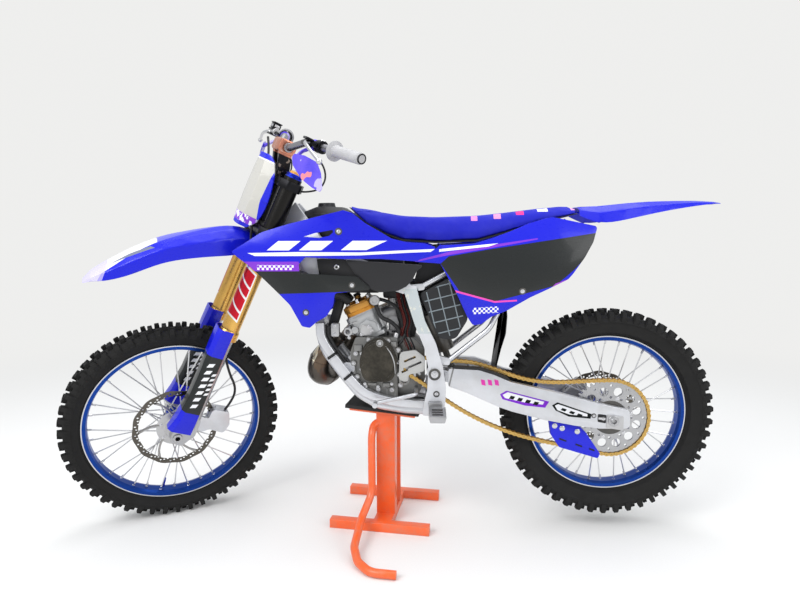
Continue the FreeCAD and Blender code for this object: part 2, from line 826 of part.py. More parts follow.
def hand_guard(name, side):
    """Shield ahead of the lever, hung below the bar, with its arm back to the bar."""
    outline = ((-8, -50, 12), (60, -42, 60), (124, -46, 20), (160, -68, 30), (204, -116, 8), (150, -114, 30),
               (88, -105, 60), (22, -80, 14))
    sweep = math.atan2(bar_end[0] - bar_bend[0], bar_end[1] - bar_bend[1])
    spot = bar_point(guard_seat + 14) + Vector(-61, 0, 0)
    shield = front_slab(outline, 0, size("panel_thickness"))
    shield.Placement = Placement(spot, about(Z_AXIS, -math.degrees(sweep)))
    band = Part.makeCylinder(17, 14, Vector(0, 0, -7))
    band = band.cut(Part.makeCylinder(float(size("bar_radius")) + 0.1, 30, Vector(0, 0, -15)))
    band.Placement = bar_place(guard_seat, RIGHT)
    foot = bar_point(guard_seat) + Vector(-9, 0, -12)
    end = spot + Vector(12 * math.sin(sweep) + 5, 12 * math.cos(sweep), -60)
    arm = tube([foot, foot + Vector(-22, -2, -20), end], 5.5, 30.0)
    whole = shield.fuse([band, arm])
    return feature(name, whole if side == RIGHT else whole.mirror(Vector(0, 0, 0), Vector(*Y_AXIS)))


def number_plate():
    """Front plate: a flat field with wings swept back to the fork legs."""
    stations = []
    # Height, half width of the flat field, half width over the wings, x of the wings' edge
    rows = ((706, 40, 56, -96), (740, 56, 86, -74), (800, 64, 98, -70), (880, 60, 90, -78),
            (926, 48, 72, -92), (942, 36, 50, -106))
    wall = float(size("panel_thickness"))
    for z, flat, wide, back_x in rows:
        front = -126.0
        ring = [(back_x, -wide, z), (front + 8, -flat, z), (front, 0, z), (front + 8, flat, z),
                (back_x, wide, z), (back_x + wall, wide - wall, z), (front + 8 + wall, flat - wall / 2, z),
                (front + wall, 0, z), (front + 8 + wall, -flat + wall / 2, z),
                (back_x + wall, -wide + wall, z)]
        stations.append(ring)
    shell = skin(stations)
    for side in SIDES:
        peg = Part.makeCylinder(5, 52.6, Vector(-121.5, side * 26, clamp_low + 16), Vector(1, 0, 0))
        shell = shell.fuse(peg)
    node("number_plate", [feature("plate_shell", shell)], STEERING)


def fork_guard(name, side):
    """Shield ahead of the lower leg, from the axle lug up past the tube's lip."""
    lead = -float(size("fork_lead"))
    y = side * float(fork_y)
    rows = ((24, 27, 30, -96), (70, 29, 36, -84), (150, 31, 36, -74), (250, 33, 36, -72), (330, 34, 36, -74),
            (392, 36, 39, -72))
    wall = float(size("panel_thickness"))
    stations = []
    for z, inner, half, front in rows:
        back_x = lead + 6
        ring = [(back_x, y - half, z), (front + 12, y - half, z), (front, y - half + 16, z),
                (front, y + half - 16, z), (front + 12, y + half, z), (back_x, y + half, z),
                (back_x, y + half - wall, z), (front + 13, y + half - wall, z),
                (front + wall, y + half - 17, z), (front + wall, y - half + 17, z),
                (front + 13, y - half + wall, z), (back_x, y - half + wall, z)]
        stations.append(ring)
    shell = skin(stations)
    for height in (110, 250):
        for way in SIDES:
            boss = Part.makeCylinder(4, 10, Vector(lead, y + way * 24.3, height), Vector(0, way, 0))
            shell = shell.fuse(boss)
    return feature(name, shell)


def front_fender():
    """Long arched guard; each station is x, crown height, lip height, half width."""
    wall = float(size("panel_thickness"))
    rows = ((-938, 862, 858, 26), (-915, 884, 868, 48), (-870, 911, 868, 62), (-800, 946, 885, 70),
            (-720, 976, 916, 72), (-640, 990, 922, 70), (-560, 1000, 922, 66), (-508, 1003, 918, 58),
            (-470, 997, 925, 54), (-436, 981, 924, 48), (-392, 960, 926, 38))
    stations = []
    for x, crown, lip, half in rows:
        rise = crown - lip
        ring = [(x, -half, lip), (x, -half * 0.92, lip + rise * 0.62), (x, -half * 0.55, crown - rise * 0.08),
                (x, 0, crown), (x, half * 0.55, crown - rise * 0.08), (x, half * 0.92, lip + rise * 0.62),
                (x, half, lip), (x, half - wall, lip), (x, half * 0.92 - wall, lip + rise * 0.62 - wall / 2),
                (x, half * 0.53, crown - rise * 0.08 - wall), (x, 0, crown - wall),
                (x, -half * 0.53, crown - rise * 0.08 - wall),
                (x, -half * 0.92 + wall, lip + rise * 0.62 - wall / 2), (x, -half + wall, lip)]
        stations.append(ring)
    node("front_fender", [feature("fender_shell", skin(stations))], STRAIGHT)


def front_caliper():
    y = -float(size("front_disc_offset"))
    axle = -float(size("axle_lead"))
    bracket = slab(((axle + 118, 66, 6), (axle + 36, 68, 6), (axle + 36, 26, 6), (axle + 76, 14, 6),
                    (axle + 128, 46, 6)), y - 26, y - 12)
    for z in (36, 57):
        bracket = bracket.fuse(Part.makeCylinder(5, 9, Vector(-10, y - 34.7, z), Vector(0, 1, 0)))
    body = slab(((axle + 82, 30, 10), (axle + 150, 26, 12), (axle + 158, 60, 12), (axle + 140, 104, 12),
                 (axle + 84, 100, 12)), y - 26, y + 20)
    slot = Part.makeCylinder(float(size("front_disc_radius")) + 5, 8, Vector(axle, y - 4, 0), Vector(0, 1, 0))
    node("front_caliper", [feature("front_caliper_body", body.fuse(bracket).cut(slot))], STEERING)


def front_hose():
    points = [(72, -62, 104.5), (84, -64, 150), (72, -70, 196), (34, -80, 236), (0, -76, 286),
              (-14, -70, 344), (-18, -67, 404), (-24, -68, 470), (-30, -69, 540), (-40, -69, 606),
              (-60, -66, 656), (-78, -60, 706), (-83, -48, 752), (-96, -20, 800), (-98, 20, 850),
              (-79, 62, 905), (-80, 112, 958), (-88, 160, 994)]
    node("front_brake_hose", [feature("front_hose", tube(points, 4.0, 200.0))], STEERING)


def front_axle():
    x = -float(size("axle_lead"))
    reach = float(fork_y) + 24
    shaft = Part.makeCylinder(float(size("axle_radius")), 2 * reach, Vector(x, -reach, 0), Vector(0, 1, 0))
    head = Part.makeCylinder(15, 5, Vector(x, -reach, 0), Vector(0, 1, 0))
    hollow = Part.makeCylinder(float(size("axle_bore")), 2 * reach, Vector(x, -reach, 0), Vector(0, 1, 0))
    node("front_axle", [feature("front_spindle", shaft.fuse(head).cut(hollow))], STEERING)


node("fork_outer_tubes", pair("fork_outer", fork_leg), STEERING)
node("fork_sliders", pair("fork_slider", fork_slider), STEERING)
triple_clamps()
handlebar()
bar_clamp()
node("grips", pair("grip", grip), STEERING)
node("bar_controls", pair("lever_set", lever_set) + [brake_reservoir(), throttle_housing()], STEERING)
node("hand_guards", pair("hand_guard", hand_guard), STEERING)
number_plate()
node("fork_guards", pair("fork_guard", fork_guard), STEERING)
front_fender()
front_caliper()
front_hose()
front_axle()


# Frame


def frame_spars():
    """Twin spars from the steering head to the pivot plates."""
    root = lean.multVec(Vector(32.5, 0, 798))
    spar_rows = ((root.x, 30, root.z, 40, 84, 22), (-225, 84, 925, 38, 90, 24), (-90, 107, 858, 18, 74, 24),
                 (20, 109, 832, 22, 62, 20), (80, 109, 792, 68, 40, 18))
    head = Part.makeCylinder(30, head_top - head_low, Vector(0, 0, head_low))
    head.Placement = lean
    inner = float(size("plate_inner"))
    outer = inner + float(size("plate_thickness"))
    plate_outline = ((60, 806, 8), (97, 690, 60), (128, 615, 60), (141, 549, 60), (137, 478, 60),
                     (126, 432, 30), (122, 398, 6), (186, 396, 10), (194, 440, 30), (196, 488, 40),
                     (186, 554, 60), (164, 628, 60), (129, 700, 60), (101, 812, 8))
    pieces = []
    for side in SIDES:
        rows = [(x, side * y, z, tilt, high, thick) for x, y, z, tilt, high, thick in spar_rows]
        pieces.append(beam(rows))
        low, high = sorted((side * inner, side * outer))
        pieces.append(slab(plate_outline, low, high))
    pieces.append(slab(((30, 834, 2), (58, 834, 2), (58, 851.5, 2), (30, 855, 2)), -98, 98))
    for x, z, radius in ((90, 788, 13), (150, 412, 13)):
        pieces.append(Part.makeCylinder(radius, 2 * inner + 4, Vector(x, -inner - 2, z), Vector(0, 1, 0)))
    pivot = Vector(float(size("pivot_reach")), -outer - 8, float(size("pivot_height")))
    pieces.append(Part.makeCylinder(float(size("pivot_radius")), 2 * outer + 16, pivot, Vector(0, 1, 0)))
    frame_shape = head.fuse(pieces)
    bore = Part.makeCylinder(stem_radius + float(size("axle_play")), 400, Vector(0, 0, 600))
    bore.Placement = lean
    node("frame_spars", [feature("spars_and_plates", frame_shape.cut(bore))])


case_left = 76.0
case_right = 80.0


def frame_cradle():
    """Down tube that splits into the two rails under the engine."""
    top = lean.multVec(Vector(48.7, 0, 798.7))
    neck = lean.multVec(Vector(73.4, 0, 741.8))
    down = beam(((top.x, 0, top.z, 66, 36, 34), (neck.x, 0, neck.z, 90, 44, 40), (-262, 0, 820, 102, 40, 42),
                 (-222, 0, 716, 100, 40, 46)))
    fork_piece = beam(((-222, 0, 716, 100, 40, 46), (-212, 0, 672, 94, 30, 92)))
    pieces = [fork_piece]
    for side in SIDES:
        points = [(-211, side * 34, 680), (-209, side * 46, 630), (-186, side * 58, 580),
                  (-128, side * 68, 508), (-82, side * 76, 455), (-20, side * 80, 421),
                  (60, side * 85, 409.8), (136.4, side * 85.6, 406)]
        pieces.append(tube(points, 14.0, 120.0))
        face = (case_right if side == RIGHT else case_left) + float(gap)
        low, high = sorted((side * face, side * (face + 4)))
        mount = ((-146, 530, 6), (-128, 508, 8), (-96, 530, 10), (-96, 556, 10), (-126, 560, 8))
        pieces.append(slab(mount, low, high))
        low, high = sorted((side * 66, side * (face + 1)))
        lug = ((-146, 530, 6), (-128, 508, 6), (-116, 518, 4), (-118, 545, 4), (-130, 552, 6))
        pieces.append(slab(lug, low, high))
        low, high = sorted((side * 56, side * 76))
        pieces.append(slab(((6, 416, 2), (36, 412, 2), (36, 435.7, 2), (6, 435.7, 2)), low, high))
    seat = Part.makeCylinder(30 + float(gap), head_top - head_low + 10, Vector(0, 0, head_low - 5))
    seat.Placement = lean
    node("frame_cradle", [feature("cradle_tubes", down.fuse(pieces).cut(seat))])


def subframe():
    tubes = []
    for side in SIDES:
        tubes.append(tube([(112, side * 88, 800), (230, side * 72, 862), (360, side * 62, 905),
                           (566, side * 56, 1006)], 9.0, 200.0))
        tubes.append(tube([(200, side * 90, 566), (330, side * 88, 670), (400, side * 58, 800),
                           (452, side * 56, 930)], 9.0, 80.0))
        low, high = sorted((side * 86, side * (float(size("plate_inner")) - float(gap))))
        tubes.append(slab(((160, 562, 8), (206, 556, 6), (212, 576, 6), (170, 588, 8)), low, high))
        tubes.append(slab(((76, 801.6, 2), (103.6, 801.6, 2), (108, 792, 4), (128, 796, 6), (128, 814, 6),
                           (78, 811, 3)), low, high))
    tubes.append(tube([(300, -66, 886), (300, 66, 886)], 8.0))
    tubes.append(tube([(548, -57, 997), (548, 57, 997)], 8.0))
    tubes.append(tube([(377.1, -70, 754), (377.1, 70, 754)], 6.0))
    node("subframe", [feature("subframe_tubes", tubes[0].fuse(tubes[1:]))])


def arm_spot(share, rise=0.0):
    """Side-view point on the line from the pivot to the rear axle, raised square to it."""
    pivot = Vector(float(size("pivot_reach")), 0, float(size("pivot_height")))
    axle = Vector(float(size("rear_axle_reach")), 0, float(size("rear_axle_height")))
    way = (axle - pivot).normalize()
    return pivot + (axle - pivot) * share + Vector(-way.z, 0, way.x) * rise


def arm_outline(rows):
    """Side-view corners from rows of share along the arm, height above its line, corner radius."""
    spots = [(arm_spot(share, rise), radius) for share, rise, radius in rows]
    return [(spot.x, spot.z, radius) for spot, radius in spots]


def swing_arm():
    inner = float(size("arm_half_span"))
    thick = float(size("arm_thickness"))
    pivot_x = float(size("pivot_reach"))
    pivot_z = float(size("pivot_height"))
    axle_x = float(size("rear_axle_reach"))
    axle_z = float(size("rear_axle_height"))
    outline = arm_outline((
        (0.067, 25, 10), (0.231, 45, 40), (0.312, 43, 40), (0.414, 34.5, 60), (0.65, 40, 60),
        (0.89, 40.5, 60), (1.07, 45, 14), (1.1, -11, 14), (0.945, -36, 20), (0.818, -47, 60),
        (0.643, -55, 60), (0.464, -56, 60), (0.391, -53, 40), (0.2, -35.5, 40), (0.092, -30, 10),
    ))
    pieces = []
    for side in SIDES:
        low, high = sorted((side * inner, side * (inner + thick)))
        pieces.append(slab(outline, low, high))
        low, high = sorted((side * (inner - 40), side * (inner + 10)))
        pieces.append(slab(((pivot_x - 6, pivot_z - 22, 6), (pivot_x + 50, pivot_z - 34, 6),
                            (pivot_x + 50, pivot_z + 2, 6), (pivot_x - 6, pivot_z + 14, 6)), low, high))
    reach = inner + thick - 12
    tube_shape = Part.makeCylinder(24, 2 * reach, Vector(pivot_x, -reach, pivot_z), Vector(0, 1, 0))
    bridge = slab(arm_outline(((0.212, -8, 8), (0.308, -8, 8), (0.29, 26, 8), (0.196, 22, 8))),
                  -inner - 2, inner + 2)
    whole = pieces[0].fuse(pieces[1:] + [tube_shape, bridge])
    for radius, x, z in (("pivot_radius", pivot_x, pivot_z), ("axle_radius", axle_x, axle_z)):
        bore = Part.makeCylinder(float(size(radius)) + 0.1, 300, Vector(x, -150, z), Vector(0, 1, 0))
        whole = whole.cut(bore)
    node("swing_arm", [feature("arm_beams", whole)])


def rear_axle():
    x = float(size("rear_axle_reach"))
    z = float(size("rear_axle_height"))
    inner = float(size("arm_half_span"))
    outer = inner + float(size("arm_thickness"))
    way = Vector(0, 1, 0)
    reach = outer + 14
    shaft = Part.makeCylinder(float(size("axle_radius")), 2 * reach, Vector(x, -reach, z), way)
    nut_y = outer + 0.3
    extras = [Part.makeCylinder(17, 8, Vector(x, y, z), way) for y in (-nut_y - 8, nut_y)]
    for side in SIDES:
        low = min(side * 76, side * (inner - 0.2))
        extras.append(Part.makeCylinder(13.5, inner - 0.2 - 76, Vector(x, low, z), way))
    hollow = Part.makeCylinder(float(size("axle_bore")), 2 * reach, Vector(x, -reach, z), way)
    node("rear_axle", [feature("rear_spindle", shaft.fuse(extras).cut(hollow))])


# Engine


def engine_cases():
    front = slab(((-110, 590, 14), (-92, 640, 10), (42, 640, 6), (42, 436, 6), (0, 436, 14), (-50, 462, 20),
                  (-88, 492, 20), (-106, 530, 20)), -case_left, case_right)
    rear = slab(((42, 640, 4), (92, 636, 24), (128, 600, 20), (130, 500, 20), (104, 436, 20), (42, 436, 4)),
                -54, case_right)
    node("engine_cases", [feature("crankcase", front.fuse(rear))])


def engine_covers():
    """Egg-shaped ignition cover, round clutch cover and the slotted sprocket cover."""
    egg = ((-80, 560, 70), (-64, 622, 46), (-16, 648, 40), (22, 622, 60), (44, 566, 60), (28, 501, 30),
           (-64, 501, 30))
    middle = Vector(-22, 0, 568)
    ignition = slab(egg, -case_left - 24, -case_left - 0.3)
    for inset, low, high in ((5, -30, -24), (11, -34, -30)):
        share = 1 - inset / 60
        inner = [(middle.x + (x - middle.x) * share, middle.z + (z - middle.z) * share, r * share)
                 for x, z, r in egg]
        ignition = ignition.fuse(slab(inner, -case_left + low, -case_left + high))
    clutch = spun("clutch_cover", ((0.0, 0.0), (70.0, 0.0), (68.0, 22.0), (62.0, 28.0), (54.0, 28.0),
                                   (52.0, 36.0), (0.0, 36.0)))
    clutch.Placement = at(-8, case_right + 0.3, 552)
    guard = slab(((46, 506, 14), (50, 596, 16), (100, 604, 16), (130, 580, 14), (130, 536, 14), (78, 524, 10),
                  (76, 500, 8)), -96, -85)
    for x, z, length in ((78, 574, 40), (86, 553, 62), (62, 536, 22)):
        slot = Part.makeBox(length, 30, 7, Vector(-length / 2, -15, -3.5))
        slot.Placement = at(x + 4, -90, z, about(Y_AXIS, -24))
        guard = guard.cut(slot)
    for x, z in ((57, 590), (56, 516)):
        guard = guard.fuse(Part.makeCylinder(5, 34, Vector(x, -88.3, z), Vector(0, 1, 0)))
    node("engine_covers", [feature("ignition_cover", ignition), clutch, feature("sprocket_cover", guard)])


cylinder_lean = 23.0
cylinder_tilt = math.radians(cylinder_lean)
cylinder_place = Placement(Vector(-38, 0, 622), about(Y_AXIS, -cylinder_lean))


def cylinder_point(x, y, z):
    return cylinder_place.multVec(Vector(x, y, z))


def engine_top_end():
    """Water-cooled cylinder with its ports and power valve, and the bolted head, leaning forward."""
    barrel = plan_slab(((-50, -50, 20), (46, -50, 20), (46, 50, 20), (-50, 50, 20)), 12, 92)
    deck = plan_slab(((-56, -54, 24), (52, -54, 24), (52, 54, 24), (-56, 54, 24)), 80, 96)
    foot = plan_slab(((-58, -58, 12), (52, -58, 12), (52, 58, 12), (-58, 58, 12)), 12, 24)
    exhaust = Part.makeCylinder(27, 30, Vector(-76, 0, 44), Vector(1, 0, 0))
    exhaust_flange = Part.makeBox(8, 72, 60, Vector(-60, -36, 14))
    intake_flange = Part.makeBox(10, 68, 60, Vector(42, -34, 30))
    pieces = [deck, foot, exhaust, exhaust_flange, intake_flange]
    for side in SIDES:
        low, high = sorted((side * 44, side * 59))
        bulge = ((-26, 22, 10), (30, 22, 10), (34, 56, 16), (10, 74, 16), (-22, 66, 14))
        pieces.append(slab(bulge, low, high))
        pieces.append(Part.makeCylinder(11, 18, Vector(-38, side * 46, 58), Vector(0, side, 0)))
    # Head: a plate with a ring of bolt bosses, a raised dome and the spark plug's seat
    pieces.append(plan_slab(((-50, -48, 26), (56, -48, 26), (56, 48, 26), (-50, 48, 26)), 95, 112))
    for bolt in range(6):
        angle = math.radians(60 * bolt + 30)
        spot = Vector(3 + 41 * math.cos(angle), 41 * math.sin(angle), 0)
        pieces.append(Part.makeCylinder(8, 9, spot + Vector(0, 0, 110)))
        pieces.append(Part.makeCylinder(5.5, 6, spot + Vector(0, 0, 118)))
    pieces.append(Part.makeCone(34, 24, 16, Vector(3, 0, 111)))
    pieces.append(Part.makeCylinder(10, 30, Vector(3, 0, 124)))
    for rib in range(4):
        bar = Part.makeBox(62, 4, 8, Vector(-31, -2, 110))
        bar.Placement = at(3, 0, 0, about(Z_AXIS, 45 * rib))
        pieces.append(bar)
    whole = barrel.fuse(pieces)
    whole.Placement = cylinder_place
    below = Part.makeBox(400, 300, 300, Vector(-250, -150, 340.3))
    node("engine_top_end", [feature("cylinder_and_head", whole.cut(below))])


def carburettor():
    """Carburettor on the intake's axis, with its float bowl, slide top and flange."""
    way = Vector(math.cos(cylinder_tilt), 0, math.sin(cylinder_tilt))
    body = Part.makeCylinder(26, 74, cylinder_point(52.3, 0, 60), way)
    flange = Part.makeBox(9, 62, 56, Vector(52.3, -31, 32))
    flange.Placement = cylinder_place
    bowl = plan_slab(((10, -24, 8), (50, -24, 8), (50, 24, 8), (10, 24, 8)), 654, 700)
    drain = Part.makeCylinder(9, 12, Vector(28, 0, 644))
    cap = Part.makeCylinder(20, 44, Vector(26, 0, 716))
    lid = Part.makeCylinder(22, 8, Vector(26, 0, 758))
    node("carburettor", [feature("carburettor_body", body.fuse([flange, bowl, drain, cap, lid]))])


def exhaust_pipe():
    rows = ((-150, 0, 632, 24), (-190, 4, 604, 27), (-232, 10, 560, 38), (-240, 40, 512, 46),
            (-218, 92, 500, 50), (-168, 128, 556, 46), (-100, 136, 640, 38), (0, 142, 700, 29),
            (80, 146, 738, 23), (120, 140, 762, 20), (150, 116, 784, 19), (172, 100, 794.9, 18),
            (218.7, 98.5, 807.6, 17))
    node("exhaust_pipe", [feature("expansion_chamber", swelling(rows))])


def silencer():
    way = Vector(0.9645, -0.0, 0.264)
    start = Vector(219.6, 98.5, 808.2)
    can = Part.makeCylinder(26, 290, start + way * 44, way)
    neck = Part.makeCone(17, 26, 44, start, way)
    tail = Part.makeCylinder(12, 44, start + way * 334, way)
    node("silencer", [feature("silencer_can", can.fuse([neck, tail]))])


def radiators():
    """A core each side, with its tanks, its slats ahead and the bracket to the down tube."""
    pieces = []
    for side in SIDES:
        low, high = sorted((side * 56, side * 122))
        core = Part.makeBox(28, high - low, 176, Vector(146, low, 474))
        tanks = [Part.makeBox(32, high - low, 16, Vector(142, low, z)) for z in (474, 634)]
        slats = []
        for number in range(9):
            slat = Part.makeBox(10, high - low - 4, 2.5, Vector(-10, low + 2, -1.2))
            slat.Placement = at(148, 0, 500 + 15 * number, about(Y_AXIS, 35))
            slats.append(slat)
        low, high = sorted((side * 21.3, side * 60))
        bracket = Part.makeBox(14, high - low, 16, Vector(152, low, 602))
        core = core.fuse(tanks + slats + [bracket])
        core.Placement = lean
        pieces.append(feature(f"radiator_{'left' if side < 0 else 'right'}", core))
    node("radiators", pieces)


def airbox():
    """Filter housing with its raised grid, and the boot to the carburettor."""
    outline = ((112, 784, 20), (150, 690, 30), (176, 640, 24), (226, 640, 24), (262, 700, 30), (262, 855, 10),
               (230, 846, 10), (140, 797, 10))
    lobe = slab(outline, -98, -46)
    grid = []
    middle = Vector(186, -99, 736)
    tilt = about(Y_AXIS, -14)
    # Bars of the grid: shift along and across the housing, length, height
    bars = [(0, rise, 110, 3.5) for rise in (-72, -36, 0, 36, 72)]
    bars += [(shift, 0, 3.5, 176) for shift in (-38, 0, 38)]
    for shift, rise, length, height in bars:
        bar = Part.makeBox(length, 4, height, Vector(shift - length / 2, -2, rise - height / 2))
        bar.Placement = Placement(middle, tilt)
        grid.append(bar)
    inner = slab([(186 + (x - 186) * 0.9, 742 + (z - 742) * 0.93, r) for x, z, r in outline], -102, -97)
    ribs = grid[0].fuse(grid[1:]).common(inner)
    throat = cylinder_point(52.3 + 74.3, 0, 60)
    way = Vector(math.cos(cylinder_tilt), 0, math.sin(cylinder_tilt))
    mouth = throat + way * 10
    boot = swelling([(throat.x, throat.y, throat.z, 20), (mouth.x, mouth.y, mouth.z, 20), (82, -38, 739, 18),
                     (108, -62, 752, 17), (150, -72, 770, 17)])
    node("airbox", [feature("airbox_shell", lobe.fuse([ribs, boot]))])


def shock():
    top = Vector(90 + 13 + 15.3, 0, 788)
    low = arm_spot(0.14, -21)
    way = low - top
    start = top + way.normalize() * 26
    spring = Part.makeCylinder(33, 188, start, way)
    rod_shape = Part.makeCylinder(11, (low - top).Length, top, way)
    top_eye = Part.makeCylinder(15, 28, top - Vector(0, 14, 0), Vector(0, 1, 0))
    link = slab(arm_outline(((0.115, -11, 8), (0.17, 0, 6), (0.2, 12, 2), (0.2085, -2, 2), (0.15, -33, 8),
                             (0.12, -34, 8))), -18, 18)
    node("shock_absorber", [feature("spring_and_damper", spring.fuse([rod_shape, top_eye, link]))])


# Bodywork


def fuel_tank():
    # Station x, half width, underside, top
    rows = ((-262, 27, 990, 1040), (-220, 48, 960, 1054), (-170, 62, 930, 1054), (-130, 74, 900, 1052),
            (-60, 84, 868, 1003.5), (0, 84, 860, 968.5), (60, 76, 852, 945.5))
    stations = []
    for x, half, low, high in rows:
        stations.append([(x, -half, low + 14), (x, -half, high - 22), (x, -half + 26, high),
                         (x, half - 26, high), (x, half, high - 22), (x, half, low + 14),
                         (x, half - 16, low), (x, -half + 16, low)])
    body = skin(stations)
    cap = Part.makeCone(30, 26, 16, Vector(-190, 0, 1051), Vector(-0.02, 0, 1))
    whole = body.fuse(cap)
    node("fuel_tank", [feature("tank_shell", whole)])


def tank_wings():
    outline = ((-115, 890, 4), (125, 874, 4), (104, 855, 10), (91, 828, 10), (72, 808, 10), (46, 795, 10),
               (-8, 790, 10), (-31, 797, 10), (-79, 839, 10))
    pieces = []
    for side in SIDES:
        low, high = sorted((side * 124, side * 131))
        boss = Part.makeCylinder(7, 6, Vector(-30, side * 119.4, 845), Vector(0, side, 0))
        wing = slab(outline, low, high).fuse(boss)
        pieces.append(feature(f"tank_wing_{'left' if side < 0 else 'right'}", wing))
    node("tank_side_covers", pieces)


def seat():
    rows = ((-112, 40, 1054, 1067), (-60, 66, 1004, 1053), (0, 74, 969, 1033), (60, 78, 946, 1023),
            (160, 78, 940, 1019), (290, 80, 945, 1023), (370, 84, 968, 1031), (470, 84, 1000, 1043),
            (600, 70, 1030, 1055))
    stations = []
    for x, half, low, high in rows:
        rise = high - low
        stations.append([(x, -half, low), (x, -half, low + rise * 0.35), (x, -half + 10, high - rise * 0.22),
                         (x, -half + 24, high - 1), (x, half - 24, high - 1),
                         (x, half - 10, high - rise * 0.22), (x, half, low + rise * 0.35), (x, half, low)])
    node("seat", [feature("seat_pad", skin(stations))])


def curved_panel(outline, plan, levels, side):
    """Side outline cut from a shell that follows the plan curve (x, y), drawn in by levels (z, inward)."""
    wall = float(size("panel_thickness"))
    rings = []
    for z, inward in levels:
        outer = [(x, y - inward, z) for x, y in plan]
        inner = [(x, y - wall - inward, z) for x, y in reversed(plan)]
        rings.append(outer + inner)
    panel = slab(outline, 60, 200).common(skin(rings))
    return panel if side == RIGHT else panel.mirror(Vector(0, 0, 0), Vector(0, 1, 0))


shroud_plan = ((-470, 152), (-400, 163), (-320, 165), (-220, 160), (-120, 148), (-60, 140), (20, 134),
               (100, 128), (170, 127))
shroud_levels = ((640, 18), (860, 0), (930, 0), (1060, 14))
panel_levels = ((660, 30), (800, 0), (900, 0), (1040, 40))
panel_plan = ((160, 127), (300, 131), (430, 132), (560, 129), (680, 110))


def shrouds():
    outline = ((-460, 916, 4), (-407, 947, 60), (-364, 974, 60), (-278, 1000, 80), (-118, 1040, 10),
               (-92, 1032, 10), (-51, 1000, 40), (-6, 974, 40), (26, 955, 40), (74, 943, 40),
               (127, 940, 40), (165, 927, 4), (105, 885, 4), (-8, 893, 40), (-115, 893, 20),
               (-232, 899, 6), (-252, 878, 8), (-250, 851, 6), (-79, 839, 10), (-31, 799, 6),
               (-146, 789, 12), (-152, 750, 20), (-173, 717, 20), (-203, 700, 20), (-225, 681, 8),
               (-249, 686, 10), (-283, 753, 60), (-321, 794, 60), (-366, 839, 60), (-408, 877, 8),
               (-437, 897, 8))
    pieces = []
    for side in SIDES:
        word = "left" if side < 0 else "right"
        panel = curved_panel(outline, shroud_plan, shroud_levels, side)
        for x, z, seat_y, end_y in ((-132, 976, 74.6, 143), (-270, 800, 122.3, 156)):
            start = Vector(x, side * seat_y, z)
            panel = panel.fuse(Part.makeCylinder(7, end_y - seat_y, start, Vector(0, side, 0)))
        pieces.append(feature(f"shroud_{word}", panel))
    node("shrouds", pieces)


def side_panels():
    outline = ((172, 934, 6), (224, 936, 40), (278, 939, 40), (333, 955, 40), (387, 975, 60), (443, 999, 60),
               (497, 1015, 40), (519, 1018, 6), (655, 990, 8), (640, 943, 40), (609, 893, 60), (577, 848, 30),
               (562, 831, 20), (506, 803, 60), (449, 775, 60), (380, 733, 40), (334, 713, 30), (304, 689, 12),
               (278, 685, 12), (260, 713, 30), (225, 789, 60), (192, 848, 60), (175, 879, 20), (169, 925, 6))
    pieces = []
    for side in SIDES:
        word = "left" if side < 0 else "right"
        low, high = sorted((side * 74.6, side * 128.5))
        pin = Part.makeCylinder(6, high - low, Vector(330, low, 894.5), Vector(0, 1, 0))
        panel = curved_panel(outline, panel_plan, panel_levels, side)
        pieces.append(feature(f"side_panel_{word}", panel.fuse(pin)))
    node("side_panels", pieces)


def rear_fender():
    wall = float(size("panel_thickness"))
    rows = ((604, 1052, 1022, 74), (662, 1055, 996, 98), (730, 1062, 1008, 96), (800, 1067, 1024, 90),
            (880, 1069, 1040, 80), (960, 1069, 1052, 66), (1020, 1066, 1059, 48), (1048, 1063, 1059, 26))
    stations = []
    for x, crown, lip, half in rows:
        rise = crown - lip
        ring = [(x, -half, lip), (x, -half * 0.9, lip + rise * 0.6), (x, -half * 0.6, crown - rise * 0.05),
                (x, half * 0.6, crown - rise * 0.05), (x, half * 0.9, lip + rise * 0.6),
                (x, half, lip), (x, half - wall, lip), (x, half * 0.9 - wall, lip + rise * 0.6 - wall / 2),
                (x, half * 0.58, crown - rise * 0.05 - wall), (x, -half * 0.58, crown - rise * 0.05 - wall),
                (x, -half * 0.9 + wall, lip + rise * 0.6 - wall / 2), (x, -half + wall, lip)]
        stations.append(ring)
    tongue = slab(((520, 1008, 0), (604, 1027, 0), (668, 1050, 0), (668, 1053, 0), (604, 1030.4, 0),
                   (520, 1011.1, 0)), -52, 52)
    node("rear_fender", [feature("rear_fender_shell", skin(stations).fuse(tongue))])


def mud_flap():
    flap = slab(((350, 505, 1), (362, 575, 60), (384, 650, 60), (388, 705, 40), (382.4, 764, 1),
                 (386, 764, 1), (391.7, 706, 40), (388, 650, 60), (366, 575, 60), (354, 505, 1)), -56, 56)
    node("mud_flap", [feature("flap_sheet", flap)])


# Controls on the frame


def footpegs():
    pieces = []
    for side in SIDES:
        word = "left" if side < 0 else "right"
        outer = float(size("plate_inner")) + float(size("plate_thickness")) + 0.3
        low, high = sorted((side * outer, side * (outer + 22)))
        foot = slab(((138, 446, 6), (184, 446, 6), (184, 408, 6), (146, 408, 6)), low, high)
        low, high = sorted((side * (outer + 20), side * (outer + 104)))
        tread = slab(((140, 429, 4), (196, 429, 4), (190, 408, 4), (146, 408, 4)), low, high)
        for step in range(3):
            start = low + 8 + 24 * step
            window = Part.makeBox(34, 16, 60, Vector(151, start, 390))
            tread = tread.cut(window)
        teeth = []
        for step in range(7):
            for x in (141.5, 189):
                tooth = Part.makeBox(5, 4, 6, Vector(x, low + 6 + 12 * step, 427))
                teeth.append(tooth)
        tread = tread.fuse(teeth)
        pieces.append(feature(f"footpeg_{word}", foot.fuse(tread)))
    node("footpegs", pieces)


